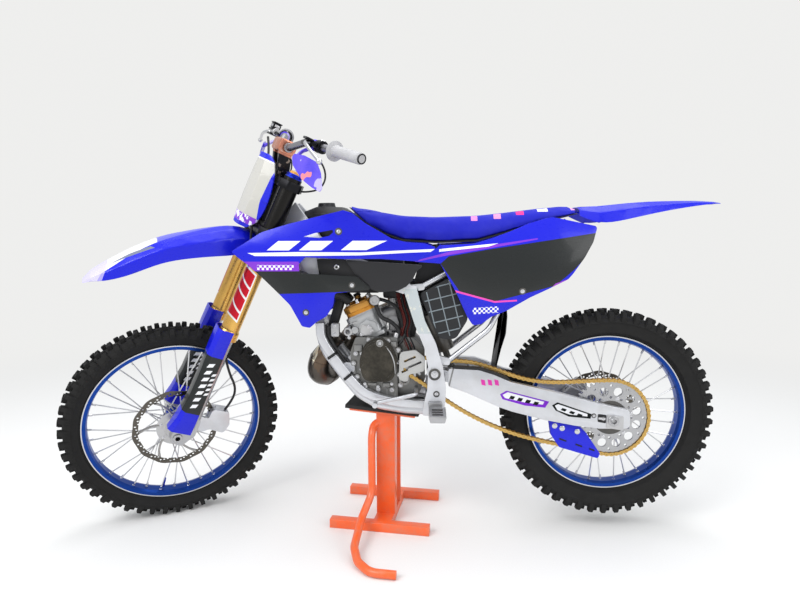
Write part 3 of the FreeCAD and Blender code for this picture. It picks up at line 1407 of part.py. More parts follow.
def foot_levers():
    shift = tube([(102, -54.3, 470), (102, -132, 470), (60, -138, 462), (-24, -142, 444)], 6.0, 14.0)
    toe = Part.makeCylinder(8, 34, Vector(-24, -172, 444), Vector(0, 1, 0))
    brake = tube([(150, 118.3, 470), (150, 134, 470), (90, 140, 440), (-40, 144, 428)], 6.0, 14.0)
    tip = Part.makeBox(26, 32, 8, Vector(-62, 136, 424))
    node("foot_levers", [feature("shift_lever", shift.fuse(toe)), feature("brake_pedal", brake.fuse(tip))])


chain_links = 114
rear_teeth = 48
drive_teeth = 13


def pitch_radius(teeth):
    return float(size("chain_pitch")) / (2 * math.sin(math.pi / teeth))


def on_ring(middle, radius, degrees):
    angle = math.radians(degrees)
    return middle + Vector(radius * math.cos(angle), 0, radius * math.sin(angle))


def tangent_at(degrees):
    angle = math.radians(degrees)
    return Vector(-math.sin(angle), 0, math.cos(angle))


rear_middle = Vector(float(size("rear_axle_reach")), 0, float(size("rear_axle_height")))
drive_middle = Vector(float(size("drive_reach")), 0, float(size("drive_height")))
rear_leave, rear_meet, rear_first = 91.0, -105.0, -3.75
drive_meet, drive_leave = 75.0, 240.0


def hung(start, start_way, spots, end, end_way):
    curve = Part.BSplineCurve()
    curve.interpolate(Points=[start] + spots + [end], InitialTangent=start_way, FinalTangent=end_way)
    return curve.toShape()


def chain_line(slack):
    """Line of the chain's pins: over the slider, round both sprockets, the lower run hanging by its slack."""
    rear, front = pitch_radius(rear_teeth), pitch_radius(drive_teeth)
    rest = [arm_spot(0.5, 50), arm_spot(0.312, slider_top + 8.3), arm_spot(0.2, slider_top + 10.3)]
    upper = hung(on_ring(rear_middle, rear, rear_leave), tangent_at(rear_leave), rest,
                 on_ring(drive_middle, front, drive_meet), tangent_at(drive_meet))
    start, end = on_ring(drive_middle, front, drive_leave), on_ring(rear_middle, rear, rear_meet)
    lower = hung(start, tangent_at(drive_leave),
                 [start + (end - start) * share - Vector(0, 0, drop * slack)
                  for share, drop in ((0.22, 0.7), (0.5, 1.0), (0.75, 0.6))],
                 end, tangent_at(rear_meet))

    def arc(middle, radius, low, high):
        ends = [on_ring(middle, radius, degrees) for degrees in (low, (low + high) / 2, high)]
        return Part.Arc(*ends).toShape()

    return [arc(rear_middle, rear, rear_first, rear_leave), upper,
            arc(drive_middle, front, drive_meet, drive_leave), lower,
            arc(rear_middle, rear, rear_meet, rear_first)]


def chain_pins():
    """Pins one pitch apart; the slack is the one that closes the chain."""
    wanted = chain_links * float(size("chain_pitch"))
    low, high = 0.0, 160.0
    for halving in range(24):
        slack = (low + high) / 2
        length = sum(edge.Length for edge in chain_line(slack))
        low, high = (slack, high) if length < wanted else (low, slack)
    return Part.Wire(chain_line(slack)).discretize(Number=chain_links + 1)[:-1]


slider_top = 47.0
pins = chain_pins()


def chain():
    """Link plates either side of the sprockets' teeth; outer plates stand proud of inner ones."""
    y = -float(size("chain_offset"))
    inside = float(size("sprocket_thickness")) / 2 + 1.5
    faces = (float(size("chain_width")) / 2, float(size("chain_width")) / 2 - 1.8)
    plate_half = 7.0
    bands = []
    for side in SIDES:
        facets = []
        edges = []
        for number, pin in enumerate(pins):
            way = (pins[(number + 1) % chain_links] - pins[number - 1]).normalize()
            up = Vector(-way.z, 0, way.x) * plate_half
            edges.append((pin + up, pin - up))
        for number in range(chain_links):
            here, there = edges[number], edges[(number + 1) % chain_links]
            outer, following = faces[number % 2], faces[(number + 1) % 2]
            near, far = (Vector(0, y + side * inside, 0), Vector(0, y + side * outer, 0))
            for a, b in ((near, far), (far, near)):
                row = here if a is near else tuple(reversed(here))
                other = there if a is near else tuple(reversed(there))
                facets.append(facet(row[0] + a, row[0] + b, other[0] + b, other[0] + a))
            facets.append(facet(here[0] + near, here[1] + near, there[1] + near, there[0] + near))
            facets.append(facet(here[0] + far, here[1] + far, there[1] + far, there[0] + far))
            step = Vector(0, y + side * following, 0)
            facets.append(facet(there[0] + far, there[1] + far, there[1] + step, there[0] + step))
        bands.append(feature(f"chain_band{len(bands)}", closed_by(facets)))
    node("chain", bands)


def chain_slider():
    """Rubbing strip on the swing arm's top, with a lip outside the chain."""
    inner = float(size("arm_half_span"))
    outer = inner + float(size("arm_thickness"))
    top = ((0.09, 28, 6), (0.231, 45.3, 40), (0.312, 43.3, 40), (0.4, 36, 6))
    lip = [(share, rise + 8, bend) for share, rise, bend in reversed(top)]
    shelf_top = [(share, rise + 1.7, bend) for share, rise, bend in reversed(top)]
    shelf_low = [(share, rise - 6, bend) for share, rise, bend in top]
    rail = slab(arm_outline(list(top) + lip), -outer + 1, -inner - 1)
    shelf = slab(arm_outline(shelf_low + shelf_top), -inner + 0.3, 6 - inner + 16)
    bridge = slab(arm_outline(list(top) + shelf_top), -inner - 2, -inner + 1)
    node("chain_slider", [feature("slider_strip", rail.fuse([shelf, bridge]))])


def drive_sprocket():
    """Small sprocket on the engine's output shaft, its teeth between the chain's plates."""
    radius = pitch_radius(drive_teeth)
    nearest = min(pins, key=lambda pin: pin.x)
    from_middle = nearest - drive_middle
    phase = math.degrees(math.atan2(from_middle.z, from_middle.x)) + 180 / drive_teeth
    corners = []
    for tooth in range(drive_teeth):
        for turn, reach in ((-9, -5.6), (-4, 4), (4, 4), (9, -5.6)):
            spot = on_ring(drive_middle, radius + reach, phase + 360.0 * tooth / drive_teeth + turn)
            corners.append((spot.x, spot.z))
    y = -float(size("chain_offset"))
    wheel = slab(corners, y - 4.2, y + 4.2)
    shaft = Part.makeCylinder(12, 24, drive_middle + Vector(0, y - 7, 0), Vector(0, 1, 0))
    node("drive_sprocket", [feature("drive_wheel", wheel.fuse(shaft))])


def chain_guide():
    """Two cheeks under the swing arm that keep the lower run in line."""
    y = -float(size("chain_offset"))
    cheek = float(size("chain_width")) / 2 + 1.2
    outline = ((-196, 7, 6), (-116, -8, 6), (-76, -49, 6), (-30, -117, 6), (-36, -133, 6), (-160, -97, 12),
               (-186, -59, 12))
    corners = [(rear_middle.x + x, rear_middle.z + z, bend) for x, z, bend in outline]
    outer = slab(corners, y - cheek - 3, y - cheek)
    inner = slab(corners, y + cheek, y + cheek + 3)
    ties = [Part.makeCylinder(4, 2 * cheek + 5, rear_middle + Vector(x, y - cheek - 2.5, z), Vector(0, 1, 0))
            for x, z in ((-172, -26), (-144, -38))]
    node("chain_guide", [feature("guide_cheeks", outer.fuse([inner] + ties))])


def rear_caliper():
    x = float(size("rear_axle_reach"))
    z = float(size("rear_axle_height"))
    y = float(size("rear_disc_offset"))
    body = slab(((x - 128, z + 40, 10), (x - 70, z + 96, 12), (x - 40, z + 80, 12), (x - 70, z + 30, 10),
                 (x - 100, z + 14, 10)), y - 20, y + 21.7)
    slot = Part.makeCylinder(float(size("rear_disc_radius")) + 4, 8, Vector(x, y - 4, z), Vector(0, 1, 0))
    node("rear_caliper", [feature("rear_caliper_body", body.cut(slot))])


# Stand

STAND = at(0, size("stand_shift"), 0, about(Z_AXIS, size("stand_yaw")))


def stand_base():
    rail = size("rail_size")
    pieces = []
    for side in SIDES:
        pieces.append(box(f"stand_rail_{side}", size("rail_length"), rail, rail,
                          at(0, side * size("rail_spacing") / 2, 0)))
    pieces.append(box("stand_cross", 60.0, size("rail_spacing") - rail, rail, at(8, 0, 0)))
    node("stand_base", [fused("stand_foot_frame", pieces)], STAND)


def stand_lift():
    rail = float(size("rail_size"))
    top = float(size("pad_height")) - float(size("pad_thickness")) - 8
    post = Part.makeBox(62, 40, top - rail + 4, Vector(-22, -70, rail))
    back_post = Part.makeBox(62, 12, top - rail + 4, Vector(-22, 30, rail))
    plate = Part.makeBox(float(size("pad_length")) - 26, float(size("pad_width")) - 16, 8,
                         Vector(-float(size("pad_length")) / 2 + 13, -float(size("pad_width")) / 2 + 8, top))
    plate.rotate(Vector(0, 0, top), Vector(0, 1, 0), float(size("pad_tilt")))
    lever = tube([(0, -52, top - 32), (-31, -70, top - 40), (-31, -101, top - 70), (-31, -101, 112),
                  (-50, -172, 56), (-41, -300, 30), (-17, -352, 16), (30, -394, 12.5),
                  (106, -393, 12.5)], 12.5, 60.0)
    node("stand_lift", [feature("stand_posts", post.fuse([back_post, plate, lever]))], STAND)


def stand_pad():
    top = float(size("pad_height")) - float(size("pad_thickness"))
    length, width = float(size("pad_length")), float(size("pad_width"))
    corner = Vector(-length / 2, -width / 2, top + 0.1)
    pad = Part.makeBox(length, width, float(size("pad_thickness")) - 0.1, corner)
    pad.rotate(Vector(0, 0, top), Vector(0, 1, 0), float(size("pad_tilt")))
    node("stand_pad", [feature("stand_rubber", pad)], STAND)


frame_spars()
frame_cradle()
subframe()
swing_arm()
rear_axle()
engine_cases()
engine_covers()
engine_top_end()
carburettor()
exhaust_pipe()
silencer()
radiators()
airbox()
shock()
fuel_tank()
tank_wings()
seat()
shrouds()
side_panels()
rear_fender()
mud_flap()
footpegs()
foot_levers()
chain()
chain_slider()
drive_sprocket()
chain_guide()
rear_caliper()
stand_base()
stand_lift()
stand_pad()


doc.recompute()
os.makedirs("parts", exist_ok=True)
faults = []
for thing in doc.Objects:
    if "Invalid" in thing.State or "Error" in thing.State:
        faults.append(f"{thing.Name}: {thing.State}")
for name, group in nodes.items():
    shape = group.Shape
    if shape.isNull() or not shape.isValid() or not shape.Solids:
        faults.append(f"{name}: no valid solid")
if faults:
    raise RuntimeError("; ".join(faults))
for name, group in nodes.items():
    group.Shape.exportStep(f"parts/{name}.step")
    print(name, len(group.Shape.Solids), "solids", round(group.Shape.Volume), "mm3")
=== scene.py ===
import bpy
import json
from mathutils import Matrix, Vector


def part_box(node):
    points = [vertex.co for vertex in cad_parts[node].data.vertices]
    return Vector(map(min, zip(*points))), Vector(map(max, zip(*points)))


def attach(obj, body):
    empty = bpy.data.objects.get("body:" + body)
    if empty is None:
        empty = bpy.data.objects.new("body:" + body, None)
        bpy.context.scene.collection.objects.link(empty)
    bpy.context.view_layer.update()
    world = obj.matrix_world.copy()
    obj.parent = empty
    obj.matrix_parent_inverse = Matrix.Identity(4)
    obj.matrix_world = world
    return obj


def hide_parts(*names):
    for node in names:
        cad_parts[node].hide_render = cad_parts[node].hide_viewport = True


bl_info = {
    "name": "Dirt bike",
    "version": (1, 0, 0),
    "blender": (4, 5, 0),
    "location": "View3D > Sidebar > Dirt bike",
    "description": "Dresses the dirt bike on its lift stand",
    "category": "Object",
}

import json
import math

import bmesh
import bpy
from bpy.props import FloatProperty, FloatVectorProperty, PointerProperty
from mathutils import Matrix, Vector
from mathutils.bvhtree import BVHTree

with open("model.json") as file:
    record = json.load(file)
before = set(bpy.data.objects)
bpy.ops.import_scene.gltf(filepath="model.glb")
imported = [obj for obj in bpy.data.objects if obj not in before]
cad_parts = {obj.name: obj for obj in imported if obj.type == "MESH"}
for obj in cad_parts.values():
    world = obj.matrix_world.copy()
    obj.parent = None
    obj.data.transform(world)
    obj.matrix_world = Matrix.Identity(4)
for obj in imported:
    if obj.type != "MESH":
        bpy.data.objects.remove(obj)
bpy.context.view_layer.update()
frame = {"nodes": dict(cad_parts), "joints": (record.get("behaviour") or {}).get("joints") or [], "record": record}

MM = 0.001

CHASSIS = "chassis"
STEERING = "steering"
FRONT_WHEEL = "front_wheel"
REAR_WHEEL = "rear_wheel"
LEFT = -1
RIGHT = 1
SIDES = (LEFT, RIGHT)
SIDE_WORDS = ((LEFT, "left"), (RIGHT, "right"))


# Places taken from the frame's joints


def joint(name):
    """A joint's record from the frame, by its name."""
    return next(j for j in frame["joints"] if j["name"] == name)


def place_from(axes, spot):
    """Matrix whose columns are the three axes and the spot."""
    matrix = Matrix.Identity(4)
    for column, axis in enumerate(axes):
        matrix.col[column][:3] = axis
    matrix.translation = Vector(spot)
    return matrix


HEAD = joint("steering_head")
FRONT_SPIN = joint("front_wheel_spin")
REAR_SPIN = joint("rear_wheel_spin")
stem_way = Vector(HEAD["axis"]).normalized()
axle_way = Vector(FRONT_SPIN["axis"]).normalized()
fork_axes = (axle_way.cross(stem_way), axle_way, stem_way)
FORK_PLACE = place_from(fork_axes, HEAD["pos_m"])
FRONT_PLACE = place_from(fork_axes, FRONT_SPIN["pos_m"])
REAR_PLACE = Matrix.Translation(Vector(REAR_SPIN["pos_m"]))
cylinder_lean = math.radians(23.0)
cylinder_foot = Vector((-0.038, 0, 0.622))
CYLINDER_PLACE = Matrix.Translation(cylinder_foot) @ Matrix.Rotation(-cylinder_lean, 4, "Y")


# Colours and finishes


class Socket:
    """A node's output that takes part in sums; each operator adds its Math node."""

    def __init__(self, finish, output):
        self.finish = finish
        self.output = output

    def math(self, operation, *values):
        return self.finish.add("ShaderNodeMath", {"operation": operation}, *values)

    def __add__(self, other):
        return self.math("ADD", self, other)

    __radd__ = __add__

    def __sub__(self, other):
        return self.math("SUBTRACT", self, other)

    def __rsub__(self, other):
        return self.math("SUBTRACT", other, self)

    def __mul__(self, other):
        return self.math("MULTIPLY", self, other)

    __rmul__ = __mul__

    def __mod__(self, other):
        return self.math("FLOORED_MODULO", self, other)

    def __abs__(self):
        return self.math("ABSOLUTE", self)

    def __gt__(self, other):
        return self.math("GREATER_THAN", self, other)

    def __lt__(self, other):
        return self.math("LESS_THAN", self, other)

    def __or__(self, other):
        return self.math("MAXIMUM", self, other)


class Finish:
    """One procedural material: a Principled surface and what feeds it."""

    def __init__(self, name, colour, roughness=0.5, **values):
        self.material = bpy.data.materials.new(name)
        self.material.use_nodes = True
        self.tree = self.material.node_tree
        self.surface = self.tree.nodes["Principled BSDF"]
        self.colour = (*colour[:3], 1.0)
        self.set("Base Color", self.colour)
        self.set("Roughness", roughness)
        for name_, value in values.items():
            self.set(name_.replace("_", " "), value)
        self.spot = self.add("ShaderNodeTexCoord", {"pick": "Object"})
        self.parts = None

    def set(self, name, value):
        self.feed(self.surface.inputs[name], value)

    def feed(self, socket, value):
        if isinstance(value, Socket):
            self.tree.links.new(value.output, socket)
        elif isinstance(value, (tuple, list)) and len(value) == 3 and socket.type == "RGBA":
            socket.default_value = (*value, 1.0)
        else:
            socket.default_value = value

    def add(self, kind, settings=None, *values, **named):
        """New node: its settings first, then its open sockets in order or by name."""
        node = self.tree.nodes.new(kind)
        settings = dict(settings or {})
        pick = settings.pop("pick", None)
        stops = settings.pop("stops", None)
        for name, value in settings.items():
            setattr(node, name, value)
        if stops:
            ramp = node.color_ramp
            for number, (position, colour) in enumerate(stops):
                stop = ramp.elements[number] if number < 2 else ramp.elements.new(position)
                stop.position = position
                stop.color = (*colour, 1.0)
        sockets = [s for s in node.inputs if s.enabled]
        for socket, value in zip(sockets, values):
            self.feed(socket, value)
        for name, value in named.items():
            self.feed(node.inputs[name.replace("_", " ")], value)
        outputs = [s for s in node.outputs if s.enabled]
        output = node.outputs[pick] if pick else outputs[0]
        return Socket(self, output)

    def axis(self, number):
        """The object's own x, y or z, in metres."""
        if not self.parts:
            self.parts = [self.add("ShaderNodeSeparateXYZ", {"pick": key}, self.spot) for key in "XYZ"]
        return self.parts[number]

    def local(self, place):
        """The object's x, y and z along a place's own axes, from its origin."""
        offset = self.add("ShaderNodeVectorMath", {"operation": "SUBTRACT"}, self.spot,
                          tuple(place.translation))
        dot = {"operation": "DOT_PRODUCT", "pick": "Value"}
        return [self.add("ShaderNodeVectorMath", dot, offset, tuple(place.col[k][:3])) for k in range(3)]

    def mix(self, mask, first, second):
        return self.add("ShaderNodeMix", {"data_type": "RGBA"}, mask, first, second)

    def noise(self, scale, detail=3.0, rough=0.5, stretch=None):
        where = self.spot
        if stretch:
            where = self.add("ShaderNodeVectorMath", {"operation": "MULTIPLY"}, where, stretch)
        return self.add("ShaderNodeTexNoise", {}, Vector=where, Scale=scale, Detail=detail, Roughness=rough)

    def bump(self, height, strength=0.3, depth=0.001):
        self.set("Normal", self.add("ShaderNodeBump", {}, Strength=strength, Distance=depth, Height=height))

    def paint(self, mask, colour):
        """Lays a colour over the present base colour where the mask is 1."""
        socket = self.surface.inputs["Base Color"]
        below = Socket(self, socket.links[0].from_socket) if socket.links else tuple(socket.default_value)
        self.set("Base Color", self.mix(mask, below, (*colour[:3], 1.0)))

    def tone(self, amount=0.12, scale=9.0):
        """Slow light and dark changes of the base colour."""
        level = self.noise(scale, 4.0, 0.6)
        dark = tuple(c * (1 - amount) for c in self.colour[:3])
        pale = tuple(min(1.0, c * (1 + amount) + amount * 0.03) for c in self.colour[:3])
        self.set("Base Color", self.mix(level, (*dark, 1.0), (*pale, 1.0)))
        return level


def polygon(across, up, corners):
    """1 inside a convex outline of (across, up) corners in millimetres, else 0."""
    area = sum(a * d - c * b for (a, b), (c, d) in zip(corners, corners[1:] + corners[:1]))
    turn = 1 if area > 0 else -1
    mask = None
    for (a, b), (c, d) in zip(corners, corners[1:] + corners[:1]):
        run = (c - a) * turn
        rise = (d - b) * turn
        side = (up * run - across * rise) > (b * run - a * rise) * MM
        mask = side if mask is None else mask * side
    return mask


def band(value, low, high):
    """1 where the value lies between two limits in millimetres."""
    return (value > low * MM) * (value < high * MM)


def squares(finish, across, up, size):
    """Checker of squares of a size in millimetres."""
    flat = finish.add("ShaderNodeCombineXYZ", {}, across, up, 0.0)
    return finish.add(
        "ShaderNodeTexChecker", {"pick": "Fac"},
        Vector=flat, Color1=(1, 1, 1), Color2=(0, 0, 0), Scale=1 / (size * MM),
    )


def dusty(finish, amount=0.25, scale=14.0, colour=(0.32, 0.28, 0.22)):
    """Dry dust in patches."""
    patches = finish.noise(scale, 6.0, 0.7)
    finish.paint(finish.add("ShaderNodeMapRange", {}, patches, 0.42, 0.75, 0.0, amount), colour)


def worn(finish, colour, amount=0.6):
    """Rubbed colour in patches along the rounded edges."""
    edge = finish.add("ShaderNodeAttribute", {"attribute_name": "edge", "pick": "Fac"})
    rub = finish.add("ShaderNodeMapRange", {}, finish.noise(70.0, 5.0, 0.7), 0.42, 0.62, 0.0, amount)
    finish.paint(edge * rub, colour)


def moulded(name, colour, roughness=0.3, grain=0.0):
    """Injection-moulded plastic with light handling marks."""
    finish = Finish(name, colour, roughness, Coat_Weight=0.12 if roughness < 0.4 else 0.0,
                    Specular_IOR_Level=0.35)
    finish.tone(0.05, 6.0)
    worn(finish, tuple(min(1.0, c + 0.18) for c in colour), 0.5)
    marks = finish.noise(60.0, 5.0, 0.75, (1.0, 1.0, 6.0))
    finish.set("Roughness", roughness + (marks - 0.5) * 0.22)
    if grain:
        finish.bump(finish.noise(1400.0, 2.0), grain, 0.0003)
    else:
        finish.bump(finish.noise(26.0, 2.0), 0.06, 0.0008)
    return finish


def cast_metal(name, colour, roughness=0.42, grain=900.0):
    """Cast and bead-blasted metal."""
    finish = Finish(name, colour, roughness, Metallic=0.85)
    finish.tone(0.12, 12.0)
    skin = finish.noise(grain, 3.0, 0.6)
    finish.set("Roughness", roughness + (finish.noise(18.0, 4.0, 0.6) - 0.5) * 0.25)
    finish.bump(skin, 0.22, 0.0004)
    worn(finish, (0.75, 0.75, 0.76), 0.7)
    dusty(finish, 0.18, 20.0)
    return finish


def brushed(name, colour, roughness=0.3, along=(1.0, 40.0, 40.0)):
    """Metal with fine lines along one way."""
    finish = Finish(name, colour, roughness, Metallic=1.0)
    finish.tone(0.08, 10.0)
    lines = finish.noise(60.0, 4.0, 0.7, along)
    finish.set("Roughness", roughness + (lines - 0.5) * 0.3)
    finish.bump(lines, 0.08, 0.0003)
    return finish


def anodised(name, colour, roughness=0.28):
    """Dyed aluminium, a little cloudy, with small nicks."""
    finish = Finish(name, colour, roughness, Metallic=0.9)
    finish.tone(0.15, 18.0)
    nicks = finish.noise(160.0, 6.0, 0.8) > 0.69
    finish.paint(nicks * 0.5, (0.7, 0.7, 0.72))
    finish.set("Roughness", roughness + (finish.noise(30.0, 4.0) - 0.5) * 0.2)
    return finish


def rubbery(name, colour, roughness=0.75, grain=420.0):
    """Rubber: cloudy, with a fine even grain."""
    finish = Finish(name, colour, roughness, Specular_IOR_Level=0.3)
    finish.tone(0.2, 25.0)
    finish.bump(finish.noise(grain, 3.0), 0.25, 0.0006)
    return finish


def painted_steel(name, colour, roughness=0.36):
    """Powder coat with orange peel, scuffs and road dust."""
    finish = Finish(name, colour, roughness, Coat_Weight=0.15)
    finish.tone(0.1, 8.0)
    finish.bump(finish.noise(380.0, 2.0), 0.12, 0.0005)
    worn(finish, (0.2, 0.19, 0.18), 0.8)
    dusty(finish, 0.35, 22.0)
    return finish


BLUE = (0.002, 0.006, 0.56)
WHITE = (0.82, 0.83, 0.86)
INK = (0.009, 0.011, 0.011)
PURPLE = (0.2, 0.03, 0.55)
PINK = (0.75, 0.06, 0.42)
RED = (0.55, 0.015, 0.03)
CREAM = (0.5, 0.49, 0.45)

# Outlines of the printed film as (x, z), in millimetres
shroud_opening = ((-236, 961), (-200, 972), (-150, 981), (-148, 974), (-160, 963), (-190, 957))
shroud_slashes = (
    ((-347, 920), (-312, 948), (-245, 948), (-280, 920)),
    ((-250, 920), (-215, 948), (-148, 948), (-183, 920)),
    ((-125, 920), (-90, 948), (14, 948), (-48, 920)),
)
shroud_stripes = (
    ((-407, 912), (-254, 915), (-254, 903), (-384, 903)),
    ((-254, 915), (-66, 913), (-66, 904), (-254, 903)),
    ((-66, 913), (69, 919), (69, 911), (-66, 904)),
    ((69, 919), (170, 923), (170, 915), (69, 911)),
)
scoop_band = ((-430, 886), (-253, 886), (-234, 857), (-400, 857))
scoop_checks = ((-378, 876), (-267, 876), (-267, 861), (-379, 861))
scoop_field = ((-400, 857), (-70, 857), (-28, 795), (-330, 787))
panel_field = ((176, 878), (205, 904), (326, 922), (577, 965), (700, 985), (581, 861), (524, 812),
               (342, 762),
               (234, 794))
panel_top_lines = (
    ((97, 886), (205, 915), (205, 905), (97, 883)),
    ((205, 915), (326, 934), (326, 925), (205, 905)),
    ((326, 934), (470, 955), (470, 951), (326, 925)),
)
panel_low_lines = (
    ((222, 797), (342, 764), (342, 758), (218, 792)),
    ((342, 764), (410, 768), (410, 763), (342, 758)),
)
panel_smear = ((410, 776), (524, 818), (640, 935), (655, 930), (532, 798), (425, 752))
panel_checks = ((275, 741), (355, 747), (355, 727), (278, 721))
panel_stripe = ((172, 923), (322, 937), (352, 940), (322, 930), (172, 914))
check_square = 7.0


def shroud_film(blue):
    """Shrouds: a dark scoop with a checker, slashes and stripes, and one opening."""
    finish = moulded("Shroud film", blue)
    across, up = finish.axis(0), finish.axis(2)
    finish.paint(polygon(across, up, scoop_field), INK)
    finish.paint(polygon(across, up, scoop_band), PURPLE)
    finish.paint(polygon(across, up, scoop_checks) * squares(finish, across, up, check_square), WHITE)
    for corners in shroud_slashes + shroud_stripes:
        finish.paint(polygon(across, up, corners), WHITE)
    finish.set("Alpha", 1.0 - polygon(across, up, shroud_opening))
    return finish


def panel_film(blue):
    """Side panels: a dark field between coloured lines, with a checker."""
    finish = moulded("Side panel film", blue)
    across, up = finish.axis(0), finish.axis(2)
    finish.paint(polygon(across, up, panel_field), INK)
    for corners in panel_top_lines:
        finish.paint(polygon(across, up, corners), PURPLE)
    finish.paint(polygon(across, up, panel_smear), (0.3, 0.04, 0.5))
    for corners in panel_low_lines:
        finish.paint(polygon(across, up, corners), PINK)
    finish.paint(polygon(across, up, panel_checks) * squares(finish, across, up, check_square), WHITE)
    finish.paint(polygon(across, up, panel_stripe), WHITE)
    return finish


guard_field = ((-80, 100), (-20, 100), (-14, 200), (-24, 300), (-74, 300), (-80, 200))
guard_marks = [((-62, low), (-44, low + 5), (-40, low + 18), (-58, low + 13)) for low in range(118, 272,
                                                                                               24)]
guard_marks += [((-38, low), (-26, low + 4), (-23, low + 13), (-35, low + 9)) for low in range(168, 250,
                                                                                               17)]


def guard_film(blue):
    """Fork guards: a dark field with two rows of slanted pale marks."""
    finish = moulded("Fork guard film", blue)
    across, _, up = finish.local(FORK_PLACE)
    finish.paint(polygon(across, up, guard_field), INK)
    for corners in guard_marks:
        finish.paint(polygon(across, up, corners), WHITE)
    return finish


def plate_film(blue):
    """Number plate: a bare pale field between a blue head and a purple foot."""
    finish = moulded("Number plate film", CREAM)
    _, across, up = finish.local(FORK_PLACE)
    finish.paint(up > 0.925, blue)
    finish.paint(band(up, 921, 925), WHITE)
    finish.paint(up < 0.745, PURPLE)
    finish.paint((up < 0.745) * (finish.noise(60.0, 2.0, 0.5) > 0.52), WHITE)
    finish.paint(up < 0.718, blue)
    finish.paint(abs(across) > 0.082, blue)
    return finish


def hand_film(blue):
    """Hand guards: cloudy blue and violet with warm flecks."""
    finish = moulded("Hand guard film", blue)
    clouds = finish.noise(13.0, 3.0, 0.6)
    finish.set("Base Color", finish.mix(clouds, (*blue, 1.0), (0.2, 0.12, 0.75, 1.0)))
    finish.paint((clouds > 0.58) * 0.8, (0.55, 0.5, 0.85))
    finish.paint((finish.noise(22.0, 1.0, 0.5) > 0.66) * 0.85, (0.85, 0.25, 0.2))
    return finish


fender_tip = -0.315
fender_lozenge = ((-415, 36), (-375, 34), (-330, 40), (-318, 52), (-370, 46))


def fender_film(blue, tip):
    """Fender plastic with a pale print at the tip and a painted highlight along the crown."""
    finish = moulded("Fender film", blue)
    across, along, _ = finish.local(FORK_PLACE)
    half = abs(along)
    # Strip along the crown: it carries a painted highlight along the top, and the white print at the tip
    crown = half < 0.03 - (across - tip) * 0.2
    # Painted highlight: a lighter blue line where light falls on the top of the fender
    finish.paint(crown * 0.35, (0.25, 0.25, 0.85))
    finish.paint(crown * (across < tip), (0.72, 0.72, 0.74))
    finish.paint(polygon(across, half, fender_lozenge), (0.16, 0.18, 0.26))
    finish.paint((across < tip - 0.105) * 0.7, (0.5, 0.45, 0.8))
    return finish


fork_black_from = 0.655
fork_cap_from = 0.906
fork_film_edge = -0.026
fork_film_inner = 0.1


def fork_skin(gold):
    """Outer tubes: black above, anodised gold below, with a red and white film."""
    finish = anodised("Fork outer", gold)
    across, along, up = finish.local(FORK_PLACE)
    finish.paint(up > fork_black_from, (0.02, 0.019, 0.018))
    finish.paint(up > fork_cap_from, (0.01, 0.03, 0.42))
    finish.paint(up > fork_cap_from + 0.02, gold)
    slant = up + across * 0.5
    outer = (across < fork_film_edge) * (abs(along) > fork_film_inner)
    film = outer * band(slant, 412, 576)
    finish.paint(film, WHITE)
    finish.paint(outer * (across < fork_film_edge - 0.004) * band(slant, 418, 570), RED)
    for low in (458, 506, 540):
        finish.paint(film * band(slant - along * 0.6 - 0.062, low, low + 7), WHITE)
    return finish


def clamp_skin():
    """Bar clamp: copper block on dark posts."""
    finish = anodised("Clamp copper", (0.6, 0.24, 0.15), 0.36)
    up = finish.local(FORK_PLACE)[2]
    finish.paint(up < 0.958, (0.02, 0.02, 0.022))
    finish.paint((finish.noise(60.0, 2.0) > 0.6) * 0.35, (0.75, 0.6, 0.5))
    return finish


# Outline of a painted highlight: a pale streak down the chamber's front bend, as (x, z) in millimetres
chamber_highlight_streak = ((-212, 622), (-202, 616), (-226, 570), (-232, 530), (-246, 530), (-242, 574))


def chamber_skin():
    """Bare steel of the expansion chamber, browned, with a pale highlight streak painted on."""
    finish = brushed("Pipe nickel", (0.1, 0.088, 0.075), 0.3, (30.0, 1.0, 30.0))
    heat = finish.noise(9.0, 3.0, 0.5)
    finish.paint((heat > 0.56) * 0.5, (0.16, 0.1, 0.06))
    # Painted highlight: the pale streak stands in for light glinting off the round pipe
    finish.paint(polygon(finish.axis(0), finish.axis(2), chamber_highlight_streak) * 0.9, (0.7, 0.66, 0.54))
    return finish


def airbox_skin():
    """Black airbox with a paler raised grid."""
    finish = moulded("Airbox", (0.014, 0.015, 0.017), 0.45, 0.3)
    finish.paint(finish.axis(1) < -0.0985, (0.17, 0.2, 0.22))
    return finish


def frame_skin():
    """Frame: cast silver with a duller wear film on the uprights."""
    finish = cast_metal("Frame spars", (0.6, 0.61, 0.64), 0.42)
    finish.set("Metallic", 0.4)
    across, up = finish.axis(0), finish.axis(2)
    film = polygon(across, up, ((60, 800), (132, 800), (150, 660), (98, 660)))
    finish.paint(film * 0.55, (0.42, 0.5, 0.5))
    finish.paint(film * (finish.noise(45.0, 3.0, 0.8) > 0.6) * 0.5, (0.75, 0.72, 0.6))
    return finish


def top_end_skin():
    """Pale cast cylinder under a gold head."""
    finish = cast_metal("Cylinder", (0.46, 0.47, 0.48), 0.45, 700.0)
    up = finish.local(CYLINDER_PLACE)[2]
    finish.paint(up > 0.1, (0.72, 0.32, 0.05))
    finish.paint(up > 0.1115, (0.62, 0.3, 0.06))
    return finish


def cover_skin():
    """Olive ignition cover; the other covers are bare."""
    finish = cast_metal("Covers", (0.035, 0.032, 0.026), 0.45)
    bare = (finish.axis(0) > 0.042) * (finish.axis(1) < 0)
    finish.paint(bare, (0.5, 0.5, 0.49))
    finish.paint((finish.axis(1) > 0) * 1.0, (0.3, 0.3, 0.3))
    return finish


